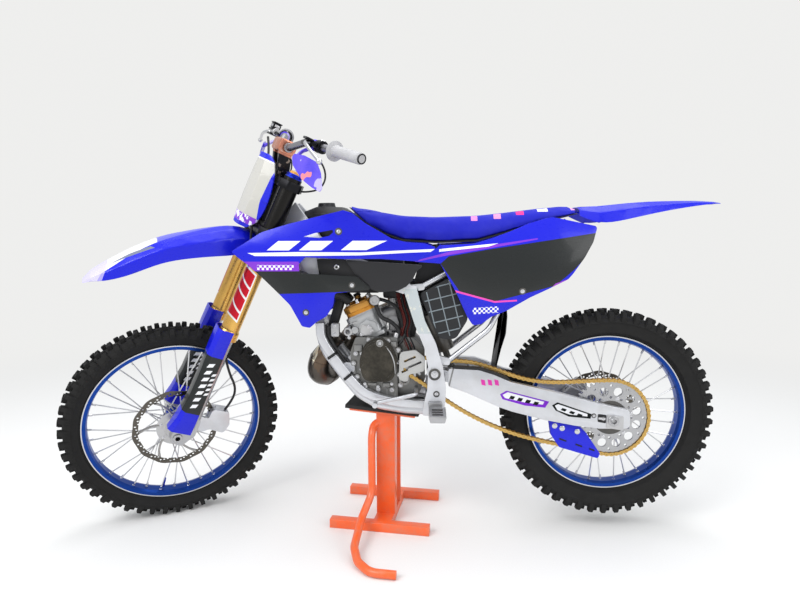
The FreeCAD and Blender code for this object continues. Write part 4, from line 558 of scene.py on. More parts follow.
arm_seam = ((218, 554), (223, 554), (208, 490), (203, 490))
arm_pinks = (305, 326, 347)
arm_badges = (((366, 466), (386, 478), (520, 444), (508, 424), (445, 430), (374, 450)),
              ((529, 432), (546, 442), (653, 405), (650, 390), (582, 396), (541, 415)))
arm_badge_cores = (((374, 464), (390, 473), (505, 443), (500, 434), (445, 440), (382, 454)),
                   ((538, 431), (548, 436), (640, 405), (640, 397), (584, 403), (546, 417)))
arm_badge_slashes = ((400, 462), (425, 456), (450, 450), (475, 444))


def arm_skin():
    """Swing arm: one cast finish over the front end and the beams, with small stripes of film."""
    finish = cast_metal("Swing arm", (0.62, 0.63, 0.66), 0.34)
    across, up = finish.axis(0), finish.axis(2)
    near = finish.axis(1) < 0
    for start in arm_pinks:
        corners = ((start, 514), (start + 13, 511), (start + 16, 493), (start + 3, 496))
        finish.paint(polygon(across, up, corners) * near, PINK)
    for edge, core, colour in zip(arm_badges, arm_badge_cores, (PURPLE, INK)):
        finish.paint(polygon(across, up, edge) * near, colour)
        finish.paint(polygon(across, up, core) * near, WHITE)
    for x, z in arm_badge_slashes:
        finish.paint(polygon(across, up, ((x, z), (x + 14, z - 3), (x + 8, z - 13),
                                          (x - 6, z - 10))) * near, INK)
    for x, z in ((562, 424), (588, 415), (612, 407)):
        finish.paint(polygon(across, up, ((x, z), (x + 14, z - 5), (x + 8, z - 12), (x - 6, z - 7))) * near,
                     INK)
    finish.paint(polygon(across, up, arm_seam), (0.22, 0.22, 0.22))
    return finish


def wheel_radius(finish, place):
    """Distance from the axle, then the place along it, ahead and up."""
    across, along, up = finish.local(place)
    return (across * across + up * up).math("SQRT", across * across + up * up), along, across, up


def rim_skin(place, radius):
    """Blue rim with bare metal along its flanges."""
    finish = anodised("Rim blue", (0.006, 0.045, 0.27), 0.3)
    reach = wheel_radius(finish, place)[0]
    finish.paint(reach > radius - 0.0035, (0.6, 0.6, 0.62))
    return finish


def hub_skin(place):
    """Blue hub with bright spokes and bearing seats."""
    finish = anodised("Hub blue", (0.02, 0.05, 0.36), 0.32)
    reach, along, *_ = wheel_radius(finish, place)
    finish.paint(reach > 0.0345, (0.62, 0.62, 0.63))
    finish.paint(reach < 0.019, (0.4, 0.4, 0.41))
    return finish


def disc_skin(place, radius, inner):
    """Brake disc: a rubbed dark band with three rows of drilled holes."""
    finish = Finish("Disc", (0.34, 0.33, 0.32), 0.3, Metallic=1.0)
    reach, _, across, up = wheel_radius(finish, place)
    turn = up.math("ARCTAN2", up, across)
    rings = finish.noise(900.0, 2.0, 0.6, (1.0, 1.0, 1.0))
    finish.tone(0.1, 14.0)
    finish.paint((reach > inner) * 0.9, (0.085, 0.075, 0.06))
    drilled = None
    for share, radius_of, phase in ((0.25, 0.0032, 0.0), (0.5, 0.0032, 0.33), (0.75, 0.0032, 0.66)):
        centre = inner + (radius - 0.006 - inner) * share
        count = 24
        slot = ((turn * (count / (2 * math.pi)) + phase + 50.0) % 1.0) - 0.5
        sweep = slot * (2 * math.pi / count) * centre
        off = reach - centre
        hole = (sweep * sweep + off * off) < radius_of * radius_of
        drilled = hole if drilled is None else drilled | hole
    finish.set("Alpha", 1.0 - drilled)
    finish.set("Roughness", 0.28 + (rings - 0.5) * 0.2)
    finish.bump(rings, 0.08, 0.0003)
    return finish


strip_outline = ((66, 351), (78, 351), (78, 209), (66, 209))


def stand_skin(orange):
    """Powder coat with one pale strip up the post."""
    finish = painted_steel("Stand orange", orange)
    finish.paint(polygon(finish.axis(0), finish.axis(2), strip_outline) * (finish.axis(1) < -0.04), WHITE)
    return finish


FINISHES = {}


def finish_of(name):
    """The material of a finish, by its short name."""
    return FINISHES[name].material


# Start, end and lowest height of each stripe in millimetres, and its colour
seat_stripes = (
    (272, 292, 1008, (0.72, 0.25, 0.55)), (342, 364, 1014, (0.75, 0.28, 0.5)),
    (411, 435, 1026, (0.8, 0.03, 0.25)), (477, 509, 1036, (0.8, 0.8, 0.8)),
    (580, 598, 1040, (0.7, 0.3, 0.6)),
)


def seat_cover():
    """Ribbed grip cover, softer than the plastic."""
    finish = Finish("Seat cover", (0.006, 0.01, 0.42), 0.62, Specular_IOR_Level=0.2)
    finish.tone(0.1, 9.0)
    weave = finish.noise(1500.0, 3.0, 0.6)
    finish.bump(weave, 0.3, 0.0005)
    finish.set("Roughness", 0.58 + (finish.noise(24.0, 4.0) - 0.5) * 0.2)
    dusty(finish, 0.05, 10.0, (0.3, 0.3, 0.45))
    across, up = finish.axis(0), finish.axis(2)
    for start, end, low, colour in seat_stripes:
        finish.paint(band(across, start, end) * (up > low * MM), colour)
    return finish


def make_finishes(colours):
    """Fills the table of finishes from the panel's colours."""
    blue = tuple(colours.plastic_blue)
    FINISHES.update({
        "blue": moulded("Moulded blue", blue),
        "black": moulded("Moulded black", (0.012, 0.012, 0.013), 0.55, 0.3),
        "tank": moulded("Tank black", (0.014, 0.014, 0.016), 0.42, 0.15),
        "frame": cast_metal("Frame silver", (0.62, 0.63, 0.66), 0.34),
        "alloy": cast_metal("Cast alloy", (0.36, 0.36, 0.37), 0.45),
        "head": cast_metal("Head gold", (0.62, 0.3, 0.06), 0.35),
        "steel": brushed("Steel", (0.42, 0.42, 0.43), 0.3),
        "bar": brushed("Bar grey", (0.3, 0.3, 0.32), 0.36, (40.0, 1.0, 40.0)),
        "clamp": clamp_skin(),
        "control_black": anodised("Control black", (0.012, 0.012, 0.014), 0.34),
        "lever_silver": brushed("Lever silver", (0.62, 0.62, 0.63), 0.28, (1.0, 40.0, 1.0)),
        "cap_blue": anodised("Cap blue", (0.008, 0.02, 0.42), 0.26),
        "airbox": airbox_skin(),
        "grip": rubbery("Grip grey", (0.42, 0.42, 0.43), 0.6),
        "rubber": rubbery("Rubber", (0.012, 0.012, 0.013), 0.7),
        "tyre": rubbery("Tyre rubber", (0.008, 0.0078, 0.0075), 0.85),
        "nickel": chamber_skin(),
        "radiator": cast_metal("Radiator", (0.3, 0.3, 0.31), 0.45),
        "chain": brushed("Chain gold", (0.56, 0.36, 0.11), 0.35, (10.0, 10.0, 10.0)),
        "chain_pin": brushed("Chain pins", (0.4, 0.27, 0.1), 0.3, (10.0, 10.0, 10.0)),
        "orange": stand_skin(tuple(colours.stand_orange)),
        "pale_alloy": cast_metal("Pale alloy", (0.5, 0.5, 0.51), 0.38),
        "case_alloy": cast_metal("Case alloy", (0.24, 0.24, 0.235), 0.42),
        "red_wire": rubbery("Loom red", (0.12, 0.015, 0.012), 0.5, 200.0),
        "seat_thread": rubbery("Seat thread", (0.03, 0.04, 0.5), 0.6, 700.0),
        "top_end": top_end_skin(),
        "covers": cover_skin(),
        "case": cast_metal("Dark case", (0.17, 0.17, 0.165), 0.42),
        "seat": seat_cover(),
        "shroud": shroud_film(blue),
        "panel": panel_film(blue),
        "guard": guard_film(blue),
        "plate": plate_film(blue),
        "hand": hand_film(blue),
        "front_fender": fender_film(blue, fender_tip),
        "rear_fender": moulded("Rear fender plastic", blue),
        "fork": fork_skin(tuple(colours.fork_gold)),
        "spars": frame_skin(),
        "arm": arm_skin(),
        "front_rim": rim_skin(FRONT_PLACE, reach_of("front_rim", FRONT_PLACE)[0]),
        "rear_rim": rim_skin(REAR_PLACE, reach_of("rear_rim", REAR_PLACE)[0]),
        "front_hub": hub_skin(FRONT_PLACE),
        "rear_hub": hub_skin(REAR_PLACE),
        "front_disc": disc_skin(FRONT_PLACE, reach_of("front_brake_disc", FRONT_PLACE)[0], 0.112),
        "rear_disc": disc_skin(REAR_PLACE, reach_of("rear_brake_disc", REAR_PLACE)[0], 0.098),
        "hose": rubbery("Hose rubber", (0.015, 0.015, 0.016), 0.5, 300.0),
        "steel_bolt": brushed("Bolt steel", (0.6, 0.6, 0.62), 0.25, (10.0, 10.0, 10.0)),
        "dark_steel": cast_metal("Dark steel", (0.09, 0.088, 0.085), 0.4),
        "pad": rubbery("Stand pad", (0.02, 0.02, 0.02), 0.8, 260.0),
    })


SOFTENED = {
    "alloy": ("carburettor", "rear_caliper"),
    "case": ("engine_cases",),
    "top_end": ("engine_top_end",),
    "frame": ("frame_cradle", "subframe", "front_caliper", "foot_levers"),
    "spars": ("frame_spars",),
    "arm": ("swing_arm",),
    "covers": ("engine_covers",),
    "steel": ("rear_axle", "front_axle", "footpegs", "silencer"),
    "black": ("mud_flap", "chain_slider"),
    "airbox": ("airbox",),
    "tank": ("fuel_tank", "tank_side_covers"),
    "blue": ("chain_guide",),
    "shroud": ("shrouds",),
    "panel": ("side_panels",),
    "guard": ("fork_guards",),
    "dark_steel": ("shock_absorber",),
    "control_black": ("triple_clamps",),
    "bar": ("handlebar",),
    "clamp": ("bar_clamp",),
    "orange": ("stand_base", "stand_lift"),
    "pad": ("stand_pad",),
}
SMOOTHED = {
    "plate": ("number_plate",),
    "hand": ("hand_guards",),
    "front_fender": ("front_fender",),
    "rear_fender": ("rear_fender",),
}
CAD_FINISH = {
    "steel": ("fork_sliders", "drive_sprocket", "rear_sprocket"),
    "fork": ("fork_outer_tubes",),
    "grip": ("grips",),
    "front_rim": ("front_rim",),
    "rear_rim": ("rear_rim",),
    "front_hub": ("front_hub",),
    "rear_hub": ("rear_hub",),
}
BODIES = frame["record"]["behaviour"]["bodies"]


def body_of(node):
    """The body that a node rides on."""
    return next(body for body, nodes in BODIES.items() if node in nodes)


def dress(node, finish):
    """Gives a carried-over node one finish all over."""
    mesh = frame["nodes"][node].data
    mesh.materials.clear()
    mesh.materials.append(finish_of(finish))


# Building blocks


def metres(*points):
    """Vectors in metres from points in millimetres."""
    return [Vector(point) * MM for point in points]


def standing(spot, way):
    """Matrix at a spot whose z axis looks along a way."""
    return Matrix.Translation(spot) @ Vector(way).to_track_quat("Z", "Y").to_matrix().to_4x4()


def reach_of(node, place):
    """Largest and smallest radius and largest distance along the axle of a wheel's node, in metres."""
    inverse = place.inverted()
    spots = [inverse @ vertex.co for vertex in frame["nodes"][node].data.vertices]
    radii = [math.hypot(spot.x, spot.z) for spot in spots]
    return max(radii), min(radii), max(abs(spot.y) for spot in spots)


def piece(name, bm, body, finishes, replaces=(), smooth=35.0):
    """Object from a bmesh, riding on a body; faces use the finishes by their index."""
    mesh = bpy.data.meshes.new(name)
    bmesh.ops.recalc_face_normals(bm, faces=bm.faces)
    bm.to_mesh(mesh)
    bm.free()
    return placed(name, mesh, body, finishes, replaces, smooth)


def placed(name, mesh, body, finishes, replaces=(), smooth=35.0):
    """Object from a mesh, riding on a body, with its finishes and the nodes it replaces."""
    for finish in finishes:
        mesh.materials.append(FINISHES[finish].material)
    mesh.shade_smooth()
    mesh.set_sharp_from_angle(angle=math.radians(smooth))
    thing = bpy.data.objects.new(name, mesh)
    bpy.context.collection.objects.link(thing)
    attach(thing, body)
    if replaces:
        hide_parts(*replaces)
    return thing


def turned(bm, place, profile, steps=48, closed=True, slot=0):
    """Profile of (radius, along) turned about the place's z axis."""
    rings = []
    for radius, along in profile:
        if radius < 1e-6:
            rings.append([bm.verts.new(place @ Vector((0, 0, along)))])
            continue
        ring = []
        for step in range(steps):
            angle = 2 * math.pi * step / steps
            ring.append(bm.verts.new(place @ Vector((radius * math.cos(angle), radius * math.sin(angle),
                                                     along))))
        rings.append(ring)
    pairs = list(zip(rings, rings[1:]))
    if closed:
        pairs.append((rings[-1], rings[0]))
    for low, high in pairs:
        if len(low) == 1 and len(high) == 1:
            continue
        for step in range(steps):
            onward = (step + 1) % steps
            corners = [low[step % len(low)], low[onward % len(low)], high[onward % len(high)],
                       high[step % len(high)]]
            face = bm.faces.new(list(dict.fromkeys(corners)))
            face.material_index = slot
    return rings


def block(bm, place, size, edge=0.0, slot=0, taper=1.0):
    """Box with bevelled edges, its upper face scaled by the taper."""
    verts = []
    for z in (-0.5, 0.5):
        share = taper if z > 0 else 1.0
        for x, y in ((-0.5, -0.5), (0.5, -0.5), (0.5, 0.5), (-0.5, 0.5)):
            verts.append(bm.verts.new(place @ Vector((x * size[0] * share, y * size[1] * share,
                                                      z * size[2]))))
    quads = ((3, 2, 1, 0), (4, 5, 6, 7), (0, 1, 5, 4), (1, 2, 6, 5), (2, 3, 7, 6), (3, 0, 4, 7))
    faces = [bm.faces.new([verts[i] for i in quad]) for quad in quads]
    for face in faces:
        face.material_index = slot
    if edge:
        edges = list({e for face in faces for e in face.edges})
        bmesh.ops.bevel(bm, geom=edges, offset=edge, segments=2, profile=0.6, affect="EDGES")
    return faces


def smooth_line(points, steps=6):
    """Points along a Catmull-Rom curve through the given ones."""
    spots = [Vector(p) for p in points]
    ends = [spots[0] * 2 - spots[1]] + spots + [spots[-1] * 2 - spots[-2]]
    line = []
    for a, b, c, d in zip(ends, ends[1:], ends[2:], ends[3:]):
        for step in range(steps):
            t = step / steps
            line.append(0.5 * ((2 * b) + (c - a) * t + (2 * a - 5 * b + 4 * c - d) * t * t
                               + (3 * b - a - 3 * c + d) * t * t * t))
    line.append(spots[-1])
    return line


def pipe(bm, points, radius, sides=12, slot=0, steps=6):
    """Round tube along a smooth line; the radius is one number or one for each point."""
    line = smooth_line(points, steps)
    up = Vector((0, 0, 1))
    rings = []
    for number, spot in enumerate(line):
        way = (line[min(number + 1, len(line) - 1)] - line[max(number - 1, 0)]).normalized()
        if abs(up.dot(way)) > 0.98:
            up = Vector((0, 1, 0))
        up = (up - way * up.dot(way)).normalized()
        side = way.cross(up)
        share = number / (len(line) - 1) * (len(points) - 1)
        if isinstance(radius, (list, tuple)):
            low = min(int(share), len(radius) - 2)
            girth = radius[low] + (radius[low + 1] - radius[low]) * (share - low)
        else:
            girth = radius
        rings.append([bm.verts.new(spot + (up * math.cos(a) + side * math.sin(a)) * girth)
                      for a in (2 * math.pi * k / sides for k in range(sides))])
    for low, high in zip(rings, rings[1:]):
        for k in range(sides):
            face = bm.faces.new((low[k], low[(k + 1) % sides], high[(k + 1) % sides], high[k]))
            face.material_index = slot
    for ring in (rings[0], rings[-1]):
        bm.faces.new(ring).material_index = slot


def bolt(bm, spot, way, radius, height, slot=0, sides=6):
    """Flanged hexagon head standing on a spot."""
    place = standing(spot, way)
    turned(bm, place, ((0, -0.001), (radius * 1.35, -0.001), (radius * 1.35, height * 0.2),
                       (radius, height * 0.3),
                       (0, height * 0.3)), 20, False, slot)
    turned(bm, place, ((radius * 0.98, height * 0.2), (radius * 0.98, height * 0.85),
                       (radius * 0.8, height),
                       (radius * 0.45, height), (radius * 0.4, height * 0.7), (0, height * 0.7)), sides,
           False, slot)


def spread(bm, template, places):
    """Adds a copy of a template mesh at each place."""
    for place in places:
        template.transform(place)
        bm.from_mesh(template)
        template.transform(place.inverted())


def template_of(build):
    """Mesh made once by a function that fills a bmesh."""
    bm = bmesh.new()
    build(bm)
    bmesh.ops.recalc_face_normals(bm, faces=bm.faces)
    mesh = bpy.data.meshes.new("template")
    bm.to_mesh(mesh)
    bm.free()
    return mesh


def softened(node, finish, edge=0.0012, segments=2, angle=28.0, smooth=35.0):
    """Copy of a node's mesh with clean flat faces and rounded edges, which replaces it."""
    bm = clean_copy(node)
    layer = bm.verts.layers.float.new("edge")
    sharp = [e for e in bm.edges if len(e.link_faces) == 2 and e.calc_face_angle(0) > math.radians(angle)]
    made = bmesh.ops.bevel(bm, geom=sharp, offset=edge, segments=segments, profile=0.5, affect="EDGES",
                           clamp_overlap=True)
    rounded = set(made["faces"])
    for vertex in made["verts"]:
        if all(face in rounded for face in vertex.link_faces):
            vertex[layer] = 1.0
    mesh = bpy.data.meshes.new(node + "_look")
    bm.to_mesh(mesh)
    bm.free()
    return placed(node + "_look", mesh, body_of(node), [finish], [node], smooth)


def clean_copy(node):
    """Bmesh of a node's mesh with its flat faces whole."""
    bm = bmesh.new()
    bm.from_mesh(frame["nodes"][node].data)
    bmesh.ops.remove_doubles(bm, verts=bm.verts, dist=2e-5)
    bmesh.ops.dissolve_limit(bm, angle_limit=math.radians(0.6), verts=bm.verts, edges=bm.edges)
    return bm


def smoothed(node, finish, crease_angle=42.0, levels=2):
    """Copy of a faceted shell as a creased subdivision surface, which replaces it."""
    bm = bmesh.new()
    bm.from_mesh(frame["nodes"][node].data)
    bmesh.ops.remove_doubles(bm, verts=bm.verts, dist=2e-5)
    bmesh.ops.join_triangles(bm, faces=bm.faces, angle_face_threshold=math.radians(20),
                             angle_shape_threshold=math.radians(60))
    layer = bm.edges.layers.float.new("crease_edge")
    for edge in bm.edges:
        if len(edge.link_faces) == 2 and edge.calc_face_angle(0) > math.radians(crease_angle):
            edge[layer] = 1.0
    mesh = bpy.data.meshes.new(node + "_cage")
    bm.to_mesh(mesh)
    bm.free()
    cage = bpy.data.objects.new(node + "_cage", mesh)
    bpy.context.collection.objects.link(cage)
    surface = cage.modifiers.new("surface", "SUBSURF")
    surface.levels = levels
    surface.render_levels = levels
    return placed(node + "_look", applied(cage), body_of(node), [finish], [node], 40.0)


def applied(thing):
    """Mesh of an object with its modifiers applied; the object goes."""
    graph = bpy.context.evaluated_depsgraph_get()
    mesh = bpy.data.meshes.new_from_object(thing.evaluated_get(graph), depsgraph=graph)
    bpy.data.objects.remove(thing)
    mesh.materials.clear()
    return mesh


AXLE = Matrix.Rotation(-math.pi / 2, 4, "X")


# Wheels


def knob(bm, angle, half_length, base, tip, slot=0):
    """Tyre lug between two (radius, y) feet and two (radius, y) tips, centred on an angle."""
    verts = []
    for share, points in ((1.0, base), (0.84, tip)):
        for turn in (-1, 1):
            for radius, y in points:
                a = angle + turn * share * half_length / radius
                verts.append(bm.verts.new((radius * math.cos(a), y, radius * math.sin(a))))
    b0, b1, b2, b3, t0, t1, t2, t3 = verts
    faces = [bm.faces.new(quad) for quad in ((b0, b1, b3, b2), (t0, t1, t3, t2), (b0, b1, t1, t0),
                                             (b2, b3, t3, t2),
                                             (b0, b2, t2, t0), (b1, b3, t3, t1))]
    for face in faces:
        face.material_index = slot
    bmesh.ops.recalc_face_normals(bm, faces=faces)
    edges = list({e for face in faces for e in face.edges})
    bmesh.ops.bevel(bm, geom=edges, offset=0.0009, segments=1, affect="EDGES")


def knob_rows(bm, radius, half, lug):
    """Lugs of one pitch: two crown blocks, then a shoulder block and an inner one each side."""
    pitch = 2 * math.pi / lug_rows
    length = radius * pitch * 0.36
    floor = radius - lug - 0.002
    gap = 0.0022
    width = half * 0.36
    for side in SIDES:
        knob(bm, 0, length, ((floor, side * gap), (floor, side * (width + 0.001))),
             ((radius, side * gap), (radius - 0.001, side * width)))
        knob(bm, pitch, length * 1.05,
             ((radius - lug * 2.45, side * (half - 0.006)), (radius - lug * 1.5, side * half * 0.72)),
             ((radius - lug * 1.3, side * half), (radius - lug * 0.25, side * half * 0.78)))
        knob(bm, pitch, length * 0.95,
             ((radius - lug * 1.35, side * half * 0.66), (radius - lug * 1.15, side * half * 0.42)),
             ((radius - lug * 0.2, side * half * 0.68), (radius - 0.002, side * half * 0.42)))


lug_rows = 100
lug_depth = 0.015


def knobbly(node, place, body, rim_node):
    """Tyre with a ribbed casing and separate lugs, out to the source's tips."""
    radius, _, half = reach_of(node, place)
    rim_radius = reach_of(rim_node, place)[0]
    seat = reach_of(rim_node, place)[2] - 0.0044
    lug = lug_depth
    side = [
        (rim_radius - 0.008, seat - 0.0005), (rim_radius - 0.002, seat),
        (rim_radius + 0.0015, seat + 0.0005),
        (rim_radius + 0.004, seat + 0.003), (rim_radius + 0.006, seat + 0.0045),
        (rim_radius + 0.0075, seat + 0.0075),
        (rim_radius + 0.013, half - 0.0165), (radius - lug * 3.0, half - 0.0105),
        (radius - lug * 2.6, half - 0.0075),
        (radius - lug * 2.55, half - 0.0065), (radius - lug * 2.45, half - 0.0065),
        (radius - lug * 1.9, half * 0.84),
        (radius - lug * 1.4, half * 0.7), (radius - lug * 1.1, half * 0.5), (radius - lug, half * 0.25),
    ]
    profile = [(r, -y) for r, y in side] + [(r, y) for r, y in reversed(side)]
    bm = bmesh.new()
    turned(bm, AXLE, profile, 150)
    template = template_of(lambda target: knob_rows(target, radius, half, lug))
    pitch = 4 * math.pi / lug_rows
    spread(bm, template, [Matrix.Rotation(pitch * n, 4, "Y") for n in range(lug_rows // 2)])
    bm.transform(place)
    return piece(node + "_look", bm, body, ["tyre"], [node], 30.0)


spoke_count = 36
# Radius and height of a nipple's outline, in metres
nipple_profile = (
    (0.0, -0.002), (0.0046, -0.002), (0.0046, 0.002), (0.0033, 0.003), (0.0033, 0.013), (0.0024, 0.014),
    (0.0, 0.014),
)


def nipples(name, place, body, radius):
    """Spoke nipples that stand on the rim's well, leaning left and right in turn."""
    bm = bmesh.new()
    for number in range(spoke_count):
        angle = 2 * math.pi * number / spoke_count
        side = LEFT if number % 2 == 0 else RIGHT
        spot = Vector((radius * math.cos(angle), side * 0.006, radius * math.sin(angle)))
        way = Vector((-math.cos(angle), side * 0.12, -math.sin(angle)))
        turned(bm, standing(spot, way), nipple_profile, 8, False)
    bm.transform(place)
    return piece(name, bm, body, ["steel_bolt"])


def make_wheels():
    """Tyres, nipples, the front disc's carrier, the discs and the radiators."""
    knobbly("front_tyre", FRONT_PLACE, FRONT_WHEEL, "front_rim")
    knobbly("rear_tyre", REAR_PLACE, REAR_WHEEL, "rear_rim")
    for name, place, body in (("front_rim", FRONT_PLACE, FRONT_WHEEL),
                              ("rear_rim", REAR_PLACE, REAR_WHEEL)):
        well = reach_of(name, place)[1]
        nipples(name + "_nipples", place, body, well + 0.001)
    make_carrier()
    make_disc("front_brake_disc", "front_disc", FRONT_PLACE, FRONT_WHEEL, 0.114, 12)
    make_disc("rear_brake_disc", "rear_disc", REAR_PLACE, REAR_WHEEL, 0.1, 12)
    make_radiators()


# Engine


head_low = 0.1125
head_outline = ((-0.052, -0.03), (-0.03, -0.052), (0.036, -0.052), (0.058, -0.03), (0.058, 0.03),
                (0.036, 0.052),
                (-0.03, 0.052), (-0.052, 0.03))


def along_axle(node, place):
    """Lowest and highest place of a node along its wheel's axle."""
    back = place.inverted()
    spots = [(back @ vertex.co).y for vertex in frame["nodes"][node].data.vertices]
    return min(spots), max(spots)


def make_carrier():
    """Round carrier in front of the front hub, its bolts, and the valve of the front rim."""
    low, _ = along_axle("front_brake_disc", FRONT_PLACE)
    bm = bmesh.new()
    turned(bm, AXLE, ((0.02, low - 0.0012), (0.056, low - 0.0012), (0.06, low), (0.06, low + 0.003),
                      (0.02, low + 0.003)), 56)
    turned(bm, AXLE, ((0.02, low - 0.004), (0.034, low - 0.004), (0.038, low - 0.001), (0.02, low - 0.001)),
           48)
    for number in range(6):
        angle = math.radians(60 * number)
        spot = Vector((0.049 * math.cos(angle), low - 0.001, 0.049 * math.sin(angle)))
        bolt(bm, spot, (0, -1, 0), 0.0042, 0.0032, 1)
    rim = reach_of("front_rim", FRONT_PLACE)[0] - 0.028
    angle = math.radians(-78)
    way = Vector((math.cos(angle), 0, math.sin(angle)))
    place = standing(way * (rim - 0.03), way)
    turned(bm, place, ((0.0, 0.0), (0.0035, 0.0), (0.0042, 0.002), (0.0042, 0.014), (0.0032, 0.015),
                       (0.0032, 0.034),
                       (0.0, 0.034)), 14, False, 2)
    bm.transform(FRONT_PLACE)
    piece("front_carrier", bm, FRONT_WHEEL, ["pale_alloy", "steel_bolt", "cap_blue"])


shroud_front = ((-386, 860), (-254, 688))
shroud_cover = 0.014


def make_radiators():
    """Radiators with their lower front corners cut back behind the shrouds."""
    bm = clean_copy("radiators")
    high, low = (Vector((x, 0, z)) * MM for x, z in shroud_front)
    edge = (low - high).normalized()
    way = Vector((edge.z, 0, -edge.x))
    spot = high - way * shroud_cover
    everything = bm.verts[:] + bm.edges[:] + bm.faces[:]
    cut = bmesh.ops.bisect_plane(bm, geom=everything, plane_co=spot, plane_no=way, clear_outer=True,
                                 dist=1e-6)
    rim = [part for part in cut["geom_cut"] if isinstance(part, bmesh.types.BMEdge)]
    bmesh.ops.holes_fill(bm, edges=rim)
    piece("radiators_look", bm, CHASSIS, ["radiator"], ["radiators"])


def make_disc(node, name, place, body, inner, waves):
    """Brake disc: a waved ring on curved arms, which replaces the plain one."""
    low, high = along_axle(node, place)
    outer = reach_of(node, place)[0]
    steps = waves * 12
    bm = bmesh.new()
    rings = []
    for step in range(steps):
        angle = 2 * math.pi * step / steps
        wave = 0.5 + 0.5 * math.cos(waves * angle)
        inside = inner + 0.002 * wave
        outside = outer - 0.003 * (1 - wave)
        corners = ((inside, low), (outside, low), (outside, high), (inside, high))
        rings.append([bm.verts.new((r * math.cos(angle), y, r * math.sin(angle))) for r, y in corners])
    for step, ring in enumerate(rings):
        onward = rings[(step + 1) % steps]
        for k in range(4):
            bm.faces.new((ring[k], ring[(k + 1) % 4], onward[(k + 1) % 4], onward[k]))
    for number in range(6):
        angle = 2 * math.pi * number / 6
        points = []
        for share in (0.0, 0.35, 0.7, 1.0):
            reach = 0.045 + (inner + 0.002 - 0.045) * share
            turn = angle + 0.42 * share
            points.append(Vector((reach * math.cos(turn), (low + high) / 2, reach * math.sin(turn))))
        pipe(bm, points, [0.0045, 0.0036, 0.0036, 0.005], 8, 0, 3)
    bmesh.ops.recalc_face_normals(bm, faces=bm.faces)
    bm.transform(place)
    piece(name, bm, body, [name], [node], 30.0)

def plate(bm, place, outline, thickness, edge=0.0012, slot=0):
    """Flat plate from an outline in the place's x and y, with rounded edges."""
    low = [bm.verts.new(place @ Vector((x, y, 0))) for x, y in outline]
    high = [bm.verts.new(place @ Vector((x, y, thickness))) for x, y in outline]
    faces = [bm.faces.new(list(reversed(low))), bm.faces.new(high)]
    for number, _ in enumerate(low):
        onward = (number + 1) % len(low)
        faces.append(bm.faces.new((low[number], low[onward], high[onward], high[number])))
    for face in faces:
        face.material_index = slot
    if edge:
        edges = list({e for face in faces for e in face.edges})
        bmesh.ops.bevel(bm, geom=edges, offset=edge, segments=2, profile=0.6, affect="EDGES",
                        clamp_overlap=True)


def rounded_outline(corners, radius, steps=4):
    """Outline whose corners are arcs of about one radius."""
    outline = []
    count = len(corners)
    for number, corner in enumerate(corners):
        here = Vector(corner)
        before = (Vector(corners[number - 1]) - here).normalized()
        after = (Vector(corners[(number + 1) % count]) - here).normalized()
        for step in range(steps + 1):
            share = step / steps
            start = here + before * radius
            end = here + after * radius
            bend = start * (1 - share) ** 2 + here * 2 * share * (1 - share) + end * share ** 2
            outline.append(tuple(bend))
    return outline


def left_face(x, y, z):
    """Place in millimetres whose z axis points to the bike's left and whose y axis points up."""
    return Matrix.Translation(Vector((x, y, z)) * MM) @ Matrix.Rotation(math.pi / 2, 4, "X")


def make_head():
    """Gold head with its silver nuts, ribs and plug cap."""
    bm = bmesh.new()
    place = CYLINDER_PLACE @ Matrix.Translation((0, 0, head_low))
    plate(bm, place, head_outline, 0.019, 0.003)
    inner = [(x * 0.86, y * 0.86) for x, y in head_outline]
    plate(bm, place @ Matrix.Translation((0, 0, 0.017)), inner, 0.006, 0.002)
    for number in range(8):
        turn = Matrix.Rotation(math.radians(45 * number), 4, "Z")
        block(bm, place @ Matrix.Translation((0.003, 0, 0.026)) @ turn @ Matrix.Translation((0.022, 0, 0)),
              (0.03, 0.0035, 0.008), 0.0008)
    for number in range(6):
        angle = math.radians(60 * number + 30)
        spot = Matrix.Translation((0.003 + 0.041 * math.cos(angle), 0.041 * math.sin(angle), 0.021))
        turned(bm, place @ spot, ((0.0, 0.0), (0.0085, 0.0), (0.0085, 0.004), (0.0065, 0.005),
                                  (0.0065, 0.012),
                                  (0.0045, 0.0145), (0.0, 0.015)), 12, False, 1)
    cap = place @ Matrix.Translation((0.003, 0, 0.02))
    turned(bm, cap, ((0.0, 0.0), (0.0125, 0.0), (0.0125, 0.01), (0.0095, 0.012), (0.0095, 0.024),
                     (0.0105, 0.026),
                     (0.0095, 0.03), (0.0, 0.031)), 20, False, 2)
    piece("engine_head", bm, CHASSIS, ["head", "steel_bolt", "rubber"])


